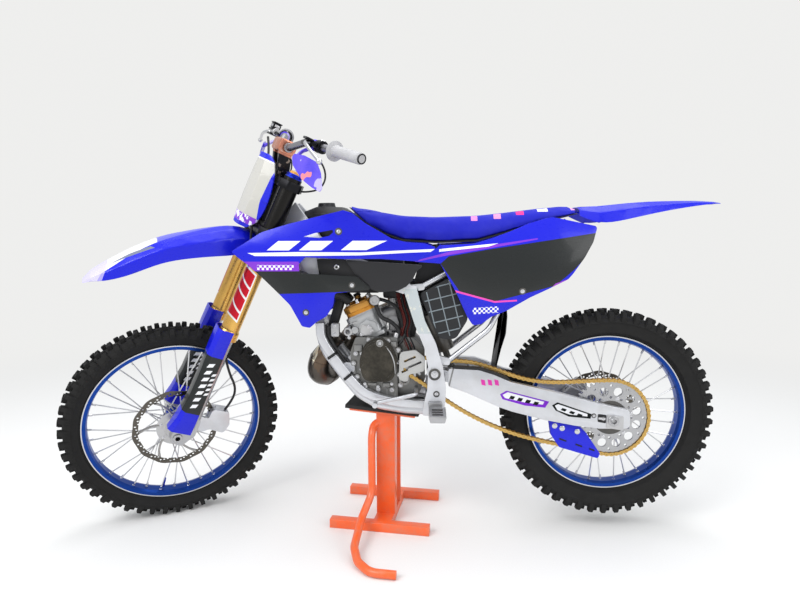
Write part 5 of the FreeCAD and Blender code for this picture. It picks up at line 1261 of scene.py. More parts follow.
def make_barrel_parts():
    """Ports, cover plates, bolts and hose fittings on the cylinder's left side."""
    bm = bmesh.new()
    y = -60.5
    cover = rounded_outline(((-0.02, -0.017), (0.018, -0.012), (0.02, 0.014), (-0.012, 0.019)), 0.004)
    plate(bm, left_face(-60, y, 659), cover, 0.006)
    box = rounded_outline(((-0.013, -0.021), (0.012, -0.021), (0.012, 0.021), (-0.013, 0.021)), 0.004)
    plate(bm, left_face(-159, -40, 661), box, 0.026, 0.002)
    turned(bm, left_face(-118, y + 3, 655), ((0.008, 0.0), (0.0135, 0.0), (0.0135, 0.008), (0.011, 0.009),
                                             (0.008, 0.009)), 24)
    for x, z in ((-114, 637), (-50, 674), (-74, 646), (-40, 660)):
        bolt(bm, Vector((x, y - 6, z)) * MM, (0, -1, 0), 0.004, 0.005, 1)
    for x, z in ((-160, 676), (-160, 648)):
        bolt(bm, Vector((x, -66, z)) * MM, (0, -1, 0), 0.004, 0.005, 1)
    turned(bm, left_face(-31, -52, 758), ((0.0, 0.0), (0.012, 0.0), (0.012, 0.006), (0.0165, 0.008),
                                          (0.0165, 0.018),
                                          (0.014, 0.0205), (0.009, 0.0205), (0.008, 0.018), (0.0, 0.018)),
           28)
    for x, z, reach in ((-100, 702, 0.03), (-78, 712, 0.03), (-100, 684, 0.026)):
        place = left_face(x, y + 1, z) @ Matrix.Rotation(cylinder_lean, 4, "Z")
        block(bm, place, (reach, 0.0025, 0.004), 0.0006)
    piece("barrel_fittings", bm, CHASSIS, ["pale_alloy", "steel_bolt"])


def make_hoses():
    """Moulded hoses and their clamps, and the looms between the carburettor and the frame."""
    bm = bmesh.new()
    water = metres((-31, -60, 752), (-25, -66, 736), (-10, -67, 705), (22, -67, 688),
                   (44, -66, 664), (42, -66, 636))
    pipe(bm, water, 0.0066)
    breather = metres((-18, -48, 760), (10, -52, 752), (38, -52, 733), (52, -48, 700),
                      (58, -46, 660))
    pipe(bm, breather, 0.0058)
    drain = metres((8, -30, 650), (14, -50, 622), (30, -62, 612), (50, -66, 620), (66, -60, 648))
    pipe(bm, drain, 0.0042)
    tube = metres((-182, -66, 674), (-180, -66, 640), (-149, -66, 587), (-101, -66, 518),
                  (-57, -66, 478), (-16, -66, 454))
    pipe(bm, tube, 0.0075)
    for number, (start, colour) in enumerate(((44, 2), (50, 2), (58, 0), (64, 2), (70, 0))):
        shift = 3 * (number % 3)
        line = metres(
            (start - 6, -34 - shift, 778), (start + 2, -44 - shift, 740), (start + 16, -48 - shift, 690),
            (start + 8, -50 - shift, 650), (start + 22, -52 - shift, 612), (start + 30, -50, 590),
        )
        pipe(bm, line, 0.0026, 8, colour)
    for spot, way, radius in (((36, -66, 638), (0.25, 0, 1), 0.0085),
                              ((30, -66, 606), (0.2, 0, 1), 0.0078)):
        place = Matrix.Translation(Vector(spot) * MM) @ Vector(way).to_track_quat("Z",
                                                                                  "Y").to_matrix().to_4x4()
        turned(bm, place, ((0.0, -0.016), (radius * 0.8, -0.016), (radius, -0.013), (radius, 0.013),
                           (radius * 0.8, 0.016), (0.0, 0.016)), 18, False, 1)
    piece("engine_hoses", bm, CHASSIS, ["hose", "pale_alloy", "red_wire"])


chamber_rows = ((-150, 0, 632, 22), (-184, 4, 602, 26), (-220, 10, 552, 36), (-228, 40, 504, 43),
                (-208, 92, 494, 47),
                (-164, 128, 552, 43), (-100, 136, 640, 36), (0, 142, 700, 27), (80, 146, 738, 21.5),
                (120, 140, 762, 19), (150, 116, 784, 18), (172, 100, 795, 17.2), (218.7, 98.5, 807.6, 16.4))


def make_chamber():
    """Expansion chamber as one smooth swelling pipe with its weld seams."""
    bm = bmesh.new()
    points = [Vector(row[:3]) * MM for row in chamber_rows]
    pipe(bm, points, [row[3] * MM for row in chamber_rows], 40)
    line = smooth_line(points, 6)
    sizes = smooth_line([Vector((row[3] * MM, 0, 0)) for row in chamber_rows], 6)
    for number in (12, 22, 34, 46):
        way = (line[number + 1] - line[number - 1]).normalized()
        place = standing(line[number], way)
        reach = sizes[number].x
        turned(bm, place, ((reach - 0.003, -0.0015), (reach + 0.0006, -0.0012), (reach + 0.0012, 0.0),
                           (reach + 0.0006, 0.0012), (reach - 0.003, 0.0015)), 40)
    piece("expansion_chamber", bm, CHASSIS, ["nickel"], ["exhaust_pipe"])

def make_case_parts():
    """Bolts on their bosses, ribs and small castings of the case's left side."""
    bm = bmesh.new()
    bosses = ((-92, 588), (-99, 556), (-88, 512), (-62, 480), (-20, 472), (24, 470), (52, 486), (48, 520),
              (50, 560),
              (44, 600), (12, 630), (-50, 632))
    for x, z in bosses:
        turned(bm, left_face(x, -75, z), ((0.0, 0.0), (0.0105, 0.0), (0.009, 0.006), (0.0, 0.006)), 18,
               False)
        bolt(bm, Vector((x, -80.8, z)) * MM, (0, -1, 0), 0.0046, 0.0045, 1)
    turned(bm, left_face(64, -75, 506), ((0.0, 0.0), (0.019, 0.0), (0.0175, 0.014), (0.011, 0.016),
                                         (0.009, 0.012),
                                         (0.0, 0.012)), 28, False)
    for x, z, width, height, depth in ((-84, 606, 30, 22, 9), (-98, 534, 12, 30, 6), (-40, 488, 34, 10, 7),
                                       (6, 486, 26, 14, 8), (-4, 634, 40, 8, 8), (30, 620, 22, 18, 12)):
        block(bm, left_face(x, -74 - depth / 2, z), (width * MM, height * MM, depth * MM), 0.002,
              taper=0.85)
    for number in range(5):
        block(bm, left_face(-70 + 26 * number, -77, 460), (0.003, 0.026, 0.004), 0.0008)
    # Ring with its bolt on the ignition cover
    turned(bm, left_face(-12, -104, 627), ((0.006, 0.0), (0.0115, 0.0), (0.0115, 0.008), (0.009, 0.0095),
                                           (0.006, 0.0095)), 24)
    bolt(bm, Vector((-12, -111, 627)) * MM, (0, -1, 0), 0.0042, 0.004, 1)
    for x, z in ((-72, 590), (-73, 540), (-62, 492), (-20, 483), (24, 492), (38, 560)):
        bolt(bm, Vector((x, -92, z)) * MM, (0, -1, 0), 0.0036, 0.004, 1)
    piece("case_castings", bm, CHASSIS, ["case_alloy", "steel_bolt"])


def make_cover_rim():
    """Bright edge along the upper right of the ignition cover."""
    bm = bmesh.new()
    line = metres((-4, -107, 624), (12, -108.5, 610), (26, -108.5, 588), (34, -108.5, 560),
                  (36, -108, 530))
    pipe(bm, line, [0.0008, 0.0018, 0.002, 0.0018, 0.0008], 8)
    piece("cover_rim", bm, CHASSIS, ["pale_alloy"])


# Frame


cradle_line = ((-203, 688), (-198, 640), (-165, 584), (-115, 517), (-68, 469), (-14, 445), (52, 431),
               (132, 426))


def beam(bm, line, y_low, y_high, width, edge=0.004, slot=0):
    """Flat-sided bar that follows a line of (x, z) in one side's plane."""
    spots = smooth_line([(x, 0, z) for x, z in line], 6)
    rings = []
    for number, spot in enumerate(spots):
        way = (spots[min(number + 1, len(spots) - 1)] - spots[max(number - 1, 0)]).normalized()
        across = Vector((-way.z, 0, way.x))
        half = width / 2
        corners = []
        for side, y in ((-1, y_low), (-1, y_high), (1, y_high), (1, y_low)):
            corners.append(spot + across * side * half + Vector((0, y, 0)))
        outline = rounded_outline(corners, edge, 3)
        rings.append([bm.verts.new(Vector(corner) * MM) for corner in outline])
    for low, high in zip(rings, rings[1:]):
        for k, _ in enumerate(low):
            onward = (k + 1) % len(low)
            bm.faces.new((low[k], low[onward], high[onward], high[k])).material_index = slot
    for ring in (rings[0], rings[-1]):
        bm.faces.new(ring).material_index = slot


def make_cradle():
    """Cast sides of the cradle, with straps and a guard plate on the left one."""
    for side, name in SIDE_WORDS:
        bm = bmesh.new()
        low, high = sorted((side * 99.5, side * 74.0))
        beam(bm, cradle_line, low, high, 27.0, 5.0)
        piece(f"cradle_side_{name}", bm, CHASSIS, ["frame"], smooth=40)
    bm = bmesh.new()
    for x, z, lean in ((-165, 584, 55.0), (-115, 517, 50.0)):
        place = Matrix.Translation(Vector((x, -88, z)) * MM) @ Matrix.Rotation(math.radians(lean), 4, "Y")
        for number in range(2):
            shift = Matrix.Translation((0.0045 * (number - 0.5), 0, 0))
            block(bm, place @ shift, (0.004, 0.031, 0.0325), 0.001)
    piece("cradle_straps", bm, CHASSIS, ["rubber"])
    bm = bmesh.new()
    beam(bm, ((-160, 577), (-140, 549), (-120, 523)), -103.0, -98.0, 30.0, 2.0)
    piece("cradle_guard", bm, CHASSIS, ["frame"])


# Fasteners


def faces_of(mesh):
    """Search tree over a mesh's faces."""
    return BVHTree.FromPolygons([v.co for v in mesh.vertices], [tuple(p.vertices) for p in mesh.polygons])


def surface_spot(node, x, z, side):
    """Outermost point of a node on one side at (x, z) in millimetres, and the way out."""
    start = Vector((x * MM, side * 0.6, z * MM))
    spot, normal, *_ = faces_of(frame["nodes"][node].data).ray_cast(start, Vector((0, -side, 0)))
    if spot is None:
        raise ValueError(f"{node} has nothing at {x}, {z}")
    return spot, normal if normal.y * side > 0 else -normal


FASTENERS = (
    ("shrouds", -132, 976, 6.5), ("shrouds", -94, 813, 6.0), ("shrouds", -235, 730, 6.0),
    ("side_panels", 425, 795, 6.5), ("frame_spars", 166, 468, 6.0),
    ("swing_arm", 660, 400, 4.5), ("swing_arm", 690, 390, 4.5),
)


def make_fasteners():
    """Screws on both sides, each on the surface that it holds."""
    for side, word in SIDE_WORDS:
        bm = bmesh.new()
        for node, x, z, radius in FASTENERS:
            spot, way = surface_spot(node, x, z, side)
            place = standing(spot, way)
            turned(bm, place, ((0.0, -0.001), (radius * 0.0017, -0.001), (radius * 0.0017, 0.0008),
                               (radius * 0.0013, 0.0014), (0.0, 0.0014)), 22, False, 1)
            bolt(bm, spot + way * 0.0014, way, radius * MM * 0.75, 0.003)
        spot, way = surface_spot("frame_spars", 160, 533, side)
        place = standing(spot, way)
        turned(bm, place, ((0.012, -0.001), (0.019, -0.001), (0.019, 0.0015), (0.017, 0.0025),
                           (0.012, 0.0015)), 30,
               True, 1)
        bolt(bm, spot + way * 0.0005, way, 0.0085, 0.005)
        piece(f"fasteners_{word}", bm, CHASSIS, ["steel_bolt", "dark_steel"])


# Seat


seat_voxel = 0.006
seat_cap = 0.005
seat_frames = 20
seat_pressure = 4.0


def remeshed(node, voxel, shrink):
    """Closed even copy of a node's mesh, drawn in along its normals."""
    mesh = frame["nodes"][node].data.copy()
    thing = bpy.data.objects.new(node + "_cage", mesh)
    bpy.context.collection.objects.link(thing)
    grid = thing.modifiers.new("grid", "REMESH")
    grid.mode = "VOXEL"
    grid.voxel_size = voxel
    even = applied(thing)
    for vertex, normal in zip(even.vertices, [v.normal.copy() for v in even.vertices]):
        vertex.co -= normal * shrink
    return even


def inflated(mesh, pressure, cap):
    """Cloth under pressure for a few frames; no point moves further than the cap."""
    rest = [v.co.copy() for v in mesh.vertices]
    thing = bpy.data.objects.new("inflating", mesh)
    bpy.context.collection.objects.link(thing)
    cloth = thing.modifiers.new("cloth", "CLOTH")
    cloth.settings.use_pressure = True
    cloth.settings.uniform_pressure_force = pressure
    cloth.settings.effector_weights.gravity = 0.0
    cloth.settings.quality = 4
    scene = bpy.context.scene
    for number in range(1, seat_frames + 1):
        scene.frame_set(number)
    blown = applied(thing)
    scene.frame_set(1)
    for vertex, spot in zip(blown.vertices, rest):
        move = vertex.co - spot
        if move.length > cap:
            vertex.co = spot + move.normalized() * cap
    return blown


def make_seat():
    """Seat pad, swollen and evened out, and held inside its node's box."""
    low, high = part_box("seat")
    mesh = remeshed("seat", seat_voxel, 0.004)
    mesh = inflated(mesh, seat_pressure, seat_cap)
    thing = bpy.data.objects.new("seat_swollen", mesh)
    bpy.context.collection.objects.link(thing)
    even = thing.modifiers.new("even", "SMOOTH")
    even.iterations = 6
    even.factor = 0.5
    surface = thing.modifiers.new("surface", "SUBSURF")
    surface.levels = 1
    surface.render_levels = 1
    mesh = applied(thing)
    for vertex in mesh.vertices:
        for axis in range(3):
            vertex.co[axis] = min(max(vertex.co[axis], low[axis]), high[axis])
    pad = placed("seat_look", mesh, CHASSIS, ["seat"], ["seat"], 60.0)
    make_seam(pad)


def make_seam(pad):
    """Welted seam with its stitches where the top panel meets each side."""
    tree = faces_of(pad.data)
    for side, word in SIDE_WORDS:
        line = []
        for step in range(26):
            x = -0.085 + 0.66 * step / 25
            start = Vector((x, side * 0.3, 1.02 + 0.27 + 0.02 * (step / 25)))
            way = Vector((0, -side * 0.72, -0.7)).normalized()
            spot, normal, *_ = tree.ray_cast(start, way)
            if spot is not None:
                line.append(spot + normal * 0.0002)
        bm = bmesh.new()
        pipe(bm, line, 0.0013, 6, 0, 3)
        piece(f"seat_seam_{word}", bm, CHASSIS, ["seat_thread"])


# Chain


chain_middle = -0.071
plate_high = 0.014


def chain_spots():
    """Pins in order, each the middle of an edge across the source's plates on their inner face."""
    mesh = frame["nodes"]["chain"].data
    spots = {}
    for edge in mesh.edges:
        start, end = (mesh.vertices[k].co for k in edge.vertices)
        flat = all(abs(spot.y - chain_middle - 0.0045) < 0.0003 for spot in (start, end))
        if flat and abs((start - end).length - plate_high) < 0.00012:
            middle = (start + end) / 2
            spots[(round(middle.x, 4), round(middle.z, 4))] = middle
    left = list(spots.values())
    line = [left.pop()]
    while left:
        nearest = min(left, key=lambda spot: (spot - line[-1]).length)
        left.remove(nearest)
        line.append(nearest)
    return line


def link_outline(pitch, end, waist, steps=7):
    """Figure-of-eight outline of a link plate."""
    outline = []
    for centre, start in ((pitch / 2, -70), (-pitch / 2, 110)):
        for step in range(steps + 1):
            angle = math.radians(start + 140 * step / steps)
            outline.append((centre + end * math.cos(angle), end * math.sin(angle)))
        outline.append((0.0, waist if centre > 0 else -waist))
    return outline


def make_chain():
    """Plates, rollers and riveted pins of each link, on the source's pins."""
    spots = chain_spots()
    pitch = (spots[1] - spots[0]).length
    tall = plate_high / 2
    upright = Matrix.Rotation(math.pi / 2, 4, "X")

    def link(bm, near, far, end):
        outline = link_outline(pitch, end, end * 0.66)
        for start in (near, -far):
            plate(bm, upright @ Matrix.Translation((0, 0, start)), outline, far - near, 0.0)

    def inner(bm):
        link(bm, 0.0046, 0.0064, tall * 0.97)
        for side in SIDES:
            turned(bm, Matrix.Translation((side * pitch / 2, 0, 0)) @ AXLE,
                   ((0.0, -0.0045), (0.0051, -0.0045), (0.0051, 0.0045), (0.0, 0.0045)), 10, False, 1)

    def outer(bm):
        link(bm, 0.0066, 0.0081, tall * 0.9)
        for side in SIDES:
            turned(bm, Matrix.Translation((side * pitch / 2, 0, 0)) @ AXLE,
                   ((0.0, -0.0085), (0.002, -0.0085), (0.0026, -0.0079), (0.0026, 0.0079), (0.002, 0.0085),
                    (0.0, 0.0085)), 8, False, 1)

    templates = (template_of(inner), template_of(outer))
    bm = bmesh.new()
    for number, spot in enumerate(spots):
        onward = spots[(number + 1) % len(spots)]
        middle = (spot + onward) / 2
        middle.y = chain_middle
        lean = math.atan2(-(onward.z - spot.z), onward.x - spot.x)
        spread(bm, templates[number % 2], [Matrix.Translation(middle) @ Matrix.Rotation(lean, 4, "Y")])
    piece("chain_look", bm, CHASSIS, ["chain", "chain_pin"], ["chain"], 30.0)


# Cords


hose_radius = 0.004
hose_route = (
    (72, -62, 104.5), (84, -64, 150), (72, -70, 196), (34, -80, 236), (0, -76, 286), (-14, -70, 344),
    (-18, -67, 404),
    (-24, -68, 470), (-30, -69, 540), (-40, -69, 606), (-60, -66, 656), (-78, -60, 706), (-83, -48, 752),
    (-96, -20, 800), (-98, 20, 850), (-79, 62, 905), (-80, 112, 958), (-88, 160, 994),
)
cable_radius = 0.0028
cable_route = ((-44, -206, 1000), (-20, -207, 992), (16, -203, 972), (36, -196, 940), (34, -176, 906),
               (16, -128, 884),
               (12, -76, 876), (22, -36, 866))


def cord(name, points, radius, finish, replaces=()):
    """Flexible line on one smooth curve, fixed at both ends to the steering."""
    curve = bpy.data.curves.new(name, "CURVE")
    curve.dimensions = "3D"
    curve.bevel_depth = radius
    curve.bevel_resolution = 4
    curve.resolution_u = 8
    curve.use_fill_caps = True
    spline = curve.splines.new("NURBS")
    spline.points.add(len(points) - 1)
    for point, spot in zip(spline.points, points):
        point.co = (*spot, 1.0)
    spline.order_u = 3
    spline.use_endpoint_u = True
    curve.materials.append(finish_of(finish))
    thing = bpy.data.objects.new(name, curve)
    bpy.context.collection.objects.link(thing)
    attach(thing, STEERING)
    if replaces:
        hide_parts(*replaces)
    return thing


def fork_points(route, side=1):
    """A route given in the steering's own axes, on one side."""
    return [FORK_PLACE @ (Vector((x, y * side, z)) * MM) for x, y, z in route]


def make_cords():
    """The brake hose and the two control cables."""
    cord("brake_hose", fork_points(hose_route), hose_radius, "hose", ["front_brake_hose"])
    cord("clutch_cable", fork_points(cable_route), cable_radius, "hose")
    cord("throttle_cable", fork_points(cable_route, -1), cable_radius, "hose")


# Covers and guards


def sheet_between(bm, corners, thickness, side):
    """Thin plate over four (x, y, z) corners, thickened towards the middle of the bike."""
    outer = [bm.verts.new(Vector(corner)) for corner in corners]
    inner = [bm.verts.new(Vector(corner) - Vector((0, side * thickness, 0))) for corner in corners]
    bm.faces.new(outer)
    bm.faces.new(list(reversed(inner)))
    for number in range(4):
        onward = (number + 1) % 4
        bm.faces.new((outer[number], inner[number], inner[onward], outer[onward]))


nose_corners = ((97, 884), (166, 926), (176, 938), (180, 878))


def make_noses():
    """Pointed front ends of the side panels, which reach under the shrouds."""
    for side, word in SIDE_WORDS:
        front = surface_spot("shrouds", 92, 905, side)[0].y
        back = surface_spot("side_panels", 186, 900, side)[0].y
        bm = bmesh.new()
        corners = []
        for x, z in nose_corners:
            share = (x - 92) / (186 - 92)
            corners.append((x * MM, front + (back - front) * share - side * 0.0015, z * MM))
        sheet_between(bm, corners, 0.003, side)
        edges = [edge for edge in bm.edges]
        bmesh.ops.bevel(bm, geom=edges, offset=0.0008, segments=2, profile=0.6, affect="EDGES")
        piece(f"panel_nose_{word}", bm, CHASSIS, ["panel"])


duct_outline = ((92, 806), (236, 800), (300, 905), (330, 938), (150, 932), (112, 884))


def make_duct():
    """Black top of the airbox, which fills the room under the seat."""
    bm = bmesh.new()
    place = Matrix.Translation((0, 0.062, 0)) @ Matrix.Rotation(math.pi / 2, 4, "X")
    outline = rounded_outline([(x * MM, z * MM) for x, z in duct_outline], 0.012)
    plate(bm, place, outline, 0.124, 0.004)
    piece("airbox_top", bm, CHASSIS, ["black"])


def make_seat_pan():
    """Black base under the seat's edge."""
    tree = faces_of(frame["nodes"]["seat"].data)
    bm = clean_copy("seat")
    for vertex in bm.verts:
        below, *_ = tree.ray_cast(Vector((min(max(vertex.co.x, -0.11), 0.598), 0, 0.8)), Vector((0, 0, 1)))
        low = below.z if below else vertex.co.z
        vertex.co.z = low + (vertex.co.z - low) * 0.1 - 0.001
        vertex.co.y *= 0.985
    piece("seat_pan", bm, CHASSIS, ["black"])


guide_bolts = ((544, 358), (568, 350), (616, 340))
guide_slots = (((560, 316), (582, 308)), ((612, 298), (632, 291)), ((656, 284), (672, 278)))


def make_guide_parts():
    """Bolts and slots of the chain guide, and the carrier in front of the rear sprocket."""
    bm = bmesh.new()
    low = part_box("chain_guide")[0][1]
    for x, z in guide_bolts:
        turned(bm, left_face(x, low / MM, z), ((0.0, -0.001), (0.0085, -0.001), (0.0085, 0.001),
                                               (0.007, 0.002),
                                              (0.0, 0.002)), 20, False)
    for start, end in guide_slots:
        pipe(bm, [Vector((x * MM, low + 0.0005, z * MM)) for x, z in (start, ((start[0] + end[0]) / 2,
             (start[1] + end[1]) / 2), end)], 0.0028, 8, 1)
    piece("guide_parts", bm, CHASSIS, ["steel_bolt", "rubber"])
    bm = bmesh.new()
    turned(bm, AXLE, ((0.02, -0.0775), (0.04, -0.0775), (0.054, -0.0752), (0.055, -0.0742),
                      (0.02, -0.0742)), 56)
    for number in range(6):
        angle = math.radians(60 * number + 12)
        spot = Vector((0.066 * math.cos(angle), -0.0742, 0.066 * math.sin(angle)))
        bolt(bm, spot, (0, -1, 0), 0.0045, 0.003, 1)
    bm.transform(REAR_PLACE)
    piece("sprocket_carrier", bm, REAR_WHEEL, ["dark_steel", "steel_bolt"])


arm_block = ((701, 404), (752, 399), (752, 354), (699, 362))
arm_recess = ((672, 406), (699, 403), (698, 376), (672, 380))


def make_arm_ends():
    """Axle blocks, their slots and adjusters on the swing arm's ends."""
    for side, word in SIDE_WORDS:
        bm = bmesh.new()
        face = abs(surface_spot("swing_arm", 690, 385, side)[0].y) / MM
        place = left_face(0, 0, 0) if side < 0 else Matrix.Scale(-1, 4, (0, 1, 0)) @ left_face(0, 0, 0)
        for outline, low, high, slot in ((arm_block, -0.5, 3.0, 0), (arm_recess, -0.5, 0.8, 1)):
            corners = rounded_outline([(x * MM, z * MM) for x, z in outline], 0.003)
            plate(bm, place @ Matrix.Translation((0, 0, (face + low) * MM)), corners, (high - low) * MM,
                  0.0006, slot)
        block(bm, place @ Matrix.Translation(Vector((685, 391, face + 0.8)) * MM) @ Matrix.Rotation(-0.09,
                                                                                                    4, "Z"),
              (0.022, 0.007, 0.002), 0.0008, 2)
        if side > 0:
            bmesh.ops.reverse_faces(bm, faces=bm.faces)
        piece(f"arm_end_{word}", bm, CHASSIS, ["pale_alloy", "rubber", "steel_bolt"])


skirt_outline = ((-204, 892), (-120, 892), (-96, 874), (-62, 842), (-60, 826), (-180, 832), (-200, 858))
nose_outline = ((-262, 900), (-207, 900), (-200, 840), (-232, 842), (-252, 868))


def make_skirts():
    """Dark panels beside the frame, between the shroud's wing and its blade."""
    for side, word in SIDE_WORDS:
        bm = bmesh.new()
        place = left_face(0, 0, 0) if side < 0 else Matrix.Scale(-1, 4, (0, 1, 0)) @ left_face(0, 0, 0)
        corners = rounded_outline([(x * MM, z * MM) for x, z in skirt_outline], 0.006)
        plate(bm, place @ Matrix.Translation((0, 0, 0.117)), corners, 0.004, 0.001)
        corners = rounded_outline([(x * MM, z * MM) for x, z in nose_outline], 0.006)
        plate(bm, place @ Matrix.Translation((0, 0, 0.104)), corners, 0.004, 0.001, 1)
        turned(bm, place @ Matrix.Translation((-0.143, 0.867, 0.121)),
               ((0.004, 0.0), (0.0085, 0.0), (0.0085, 0.0015),
                                                                       (0.0065, 0.003), (0.004, 0.003)), 20,
               True, 2)
        if side > 0:
            bmesh.ops.reverse_faces(bm, faces=bm.faces)
        piece(f"tank_skirt_{word}", bm, CHASSIS, ["black", "spars", "steel_bolt"])


def make_fillers():
    """Dark hoses, coil and intake between the cylinder, the tank and the frame."""
    bm = bmesh.new()
    for side in SIDES:
        water = [Vector((x, side * y, z)) * MM for x, y,
                 z in ((-118, 20, 748), (-150, 34, 772), (-196, 52, 766),
                                                             (-226, 66, 740))]
        pipe(bm, water, 0.015, 16)
    block(bm, Matrix.Translation((-0.112, 0, 0.802)), (0.19, 0.06, 0.05), 0.008, 1)
    block(bm, Matrix.Translation((0.058, 0, 0.79)), (0.13, 0.07, 0.06), 0.01, 1)
    block(bm, Matrix.Translation((0.075, 0, 0.70)) @ Matrix.Rotation(0.2, 4, "Y"), (0.07, 0.05, 0.17),
          0.012, 1)
    block(bm, Matrix.Translation((-0.165, 0, 0.70)) @ Matrix.Rotation(0.3, 4, "Y"), (0.03, 0.05, 0.13),
          0.01, 1)
    lead = metres((-84, -6, 768), (-96, -16, 786), (-120, -20, 792), (-140, -14, 796))
    pipe(bm, lead, 0.0036, 10)
    boot = metres((40, -4, 704), (70, -6, 712), (104, -12, 726), (130, -20, 740))
    pipe(bm, boot, [0.034, 0.03, 0.034, 0.038], 20)
    piece("intake_and_coil", bm, CHASSIS, ["hose", "black"])


# Controls


# Handlebar in the steering's own axes, as in the part's source
bar_bend = Vector((-0.046, 0.132, 1.018))
bar_tip = Vector((0.034, 0.402, 1.031))
control_seat = 0.212
lever_tip = Vector((-0.062, 0.372, 0.978))


def bar_spot(reach, side):
    """Point on the bar's outer run, and the matrix whose z axis runs outward along it."""
    spot = bar_bend.lerp(bar_tip, (reach - bar_bend.y) / (bar_tip.y - bar_bend.y))
    way = (bar_tip - bar_bend).normalized()
    spot.y *= side
    way.y *= side
    return spot, standing(spot, way)


def lever(bm, side):
    """Clamp, perch and pivot of one lever, and its blade with the ball at the end."""
    spot, place = bar_spot(control_seat, side)
    turned(bm, place, ((0.0112, -0.0125), (0.0175, -0.0125), (0.019, -0.011), (0.019, 0.011),
                       (0.0175, 0.0125),
                       (0.0112, 0.0125)), 32)
    block(bm, Matrix.Translation(spot + Vector((-0.021, 0, -0.001))), (0.026, 0.021, 0.017), 0.003)
    perch = [(-0.02, -0.016), (0.004, -0.02), (0.008, 0.012), (-0.004, 0.03), (-0.022, 0.03)]
    if side < 0:
        perch = [(x, -y) for x, y in reversed(perch)]
    pivot = spot + Vector((-0.044, side * 0.014, -0.004))
    for low in (-0.0115, 0.0055):
        plate(bm, Matrix.Translation(spot + Vector((-0.036, 0, low - 0.003))),
              rounded_outline(perch, 0.005), 0.006)
    block(bm, Matrix.Translation(spot + Vector((-0.036, -side * 0.012, -0.004))), (0.02, 0.016, 0.016),
          0.003)
    boot = [spot + Vector((-0.04, -side * y, -0.004)) for y in (0.016, 0.03, 0.046, 0.062)]
    pipe(bm, boot, [0.0085, 0.008, 0.0055, 0.0035], 14)
    for offset in (-0.0065, 0.0065):
        bolt(bm, place @ Vector((0, 0.017, offset)), place.to_3x3() @ Vector((0, 1, 0)), 0.0035, 0.004, 1)
    bolt(bm, pivot + Vector((0, 0, 0.0085)), (0, 0, 1), 0.0055, 0.004, 1)
    tip = Vector((lever_tip.x, lever_tip.y * side, lever_tip.z))
    middle = pivot.lerp(tip, 0.45) + Vector((-0.016, 0, 0.002))
    near = pivot.lerp(tip, 0.12) + Vector((-0.012, 0, 0))
    pipe(bm, [pivot, near, middle, tip], [0.0075, 0.0065, 0.005, 0.0045], 14, 1)
    turned(bm, Matrix.Translation(tip), [(0.0085 * math.sin(math.radians(a)),
                                          -0.0085 * math.cos(math.radians(a)))
                                         for a in range(0, 181, 20)], 18, False, 1)


def make_controls():
    """Lever sets, the brake's master cylinder and the throttle drum, in place of the plain ones."""
    for side, word in SIDE_WORDS:
        bm = bmesh.new()
        lever(bm, side)
        spot, place = bar_spot(control_seat, side)
        if side > 0:
            turned(bm, Matrix.Translation(spot + Vector((-0.041, -0.034,
                                                         0))) @ Matrix.Rotation(-math.pi / 2, 4, "X"),
                   ((0.0, 0.0), (0.011, 0.0), (0.0125, 0.002), (0.0125, 0.05), (0.0, 0.05)), 24, False, 2)
            block(bm, Matrix.Translation(spot + Vector((-0.043, 0.0, 0.018))), (0.028, 0.044, 0.018), 0.005,
                  2)
            block(bm, Matrix.Translation(spot + Vector((-0.043, 0.0, 0.029))), (0.03, 0.046, 0.0045), 0.002)
            for y in (-0.016, 0.016):
                bolt(bm, spot + Vector((-0.043, y, 0.031)), (0, 0, 1), 0.0032, 0.002, 1)
            drum = bar_spot(0.256, side)[1]
            turned(bm, drum, ((0.0112, -0.002), (0.021, -0.002), (0.0235, 0.001), (0.0235, 0.015),
                              (0.021, 0.018),
                              (0.0112, 0.018)), 32)
        bm.transform(FORK_PLACE)
        piece(f"controls_{word}", bm, STEERING, ["control_black", "lever_silver", "pale_alloy"],
              ["bar_controls"])
    bm = bmesh.new()
    for side in SIDES:
        _, place = bar_spot(0.4, side)
        turned(bm, place, ((0.0, -0.004), (0.0115, -0.004), (0.0115, 0.0012), (0.0, 0.0012)), 24, False)
        turned(bm, place, ((0.0105, 0.0), (0.0145, 0.0), (0.0145, 0.0014), (0.0105, 0.0014)), 24, True, 1)
    bm.transform(FORK_PLACE)
    piece("grip_ends", bm, STEERING, ["pale_alloy", "rubber"])


def make_fork_caps():
    """Gold caps with their blue collars on top of the fork legs."""
    bm = bmesh.new()
    back = FORK_PLACE.inverted()
    spots = [back @ vertex.co for vertex in frame["nodes"]["fork_outer_tubes"].data.vertices]
    high = max(spot.z for spot in spots)
    for side in SIDES:
        rim = [spot for spot in spots if spot.z > high - 0.004 and spot.y * side > 0]
        middle = sum(rim, Vector()) / len(rim)
        place = Matrix.Translation(Vector((middle.x, middle.y, high)))
        turned(bm, place, ((0.0, -0.001), (0.0255, -0.001), (0.0255, 0.006), (0.023, 0.0075),
                           (0.0, 0.0075)), 32,
               False)
        turned(bm, place @ Matrix.Translation((0, 0, 0.0075)), ((0.0, 0.0), (0.018, 0.0), (0.0165, 0.007),
                                                               (0.009, 0.0085), (0.0, 0.0085)), 6, False, 1)
        bolt(bm, place @ Vector((0, 0, 0.016)), (0, 0, 1), 0.005, 0.004, 2)
    bm.transform(FORK_PLACE)
    piece("fork_caps", bm, STEERING, ["cap_blue", "head", "steel_bolt"])


# Right side


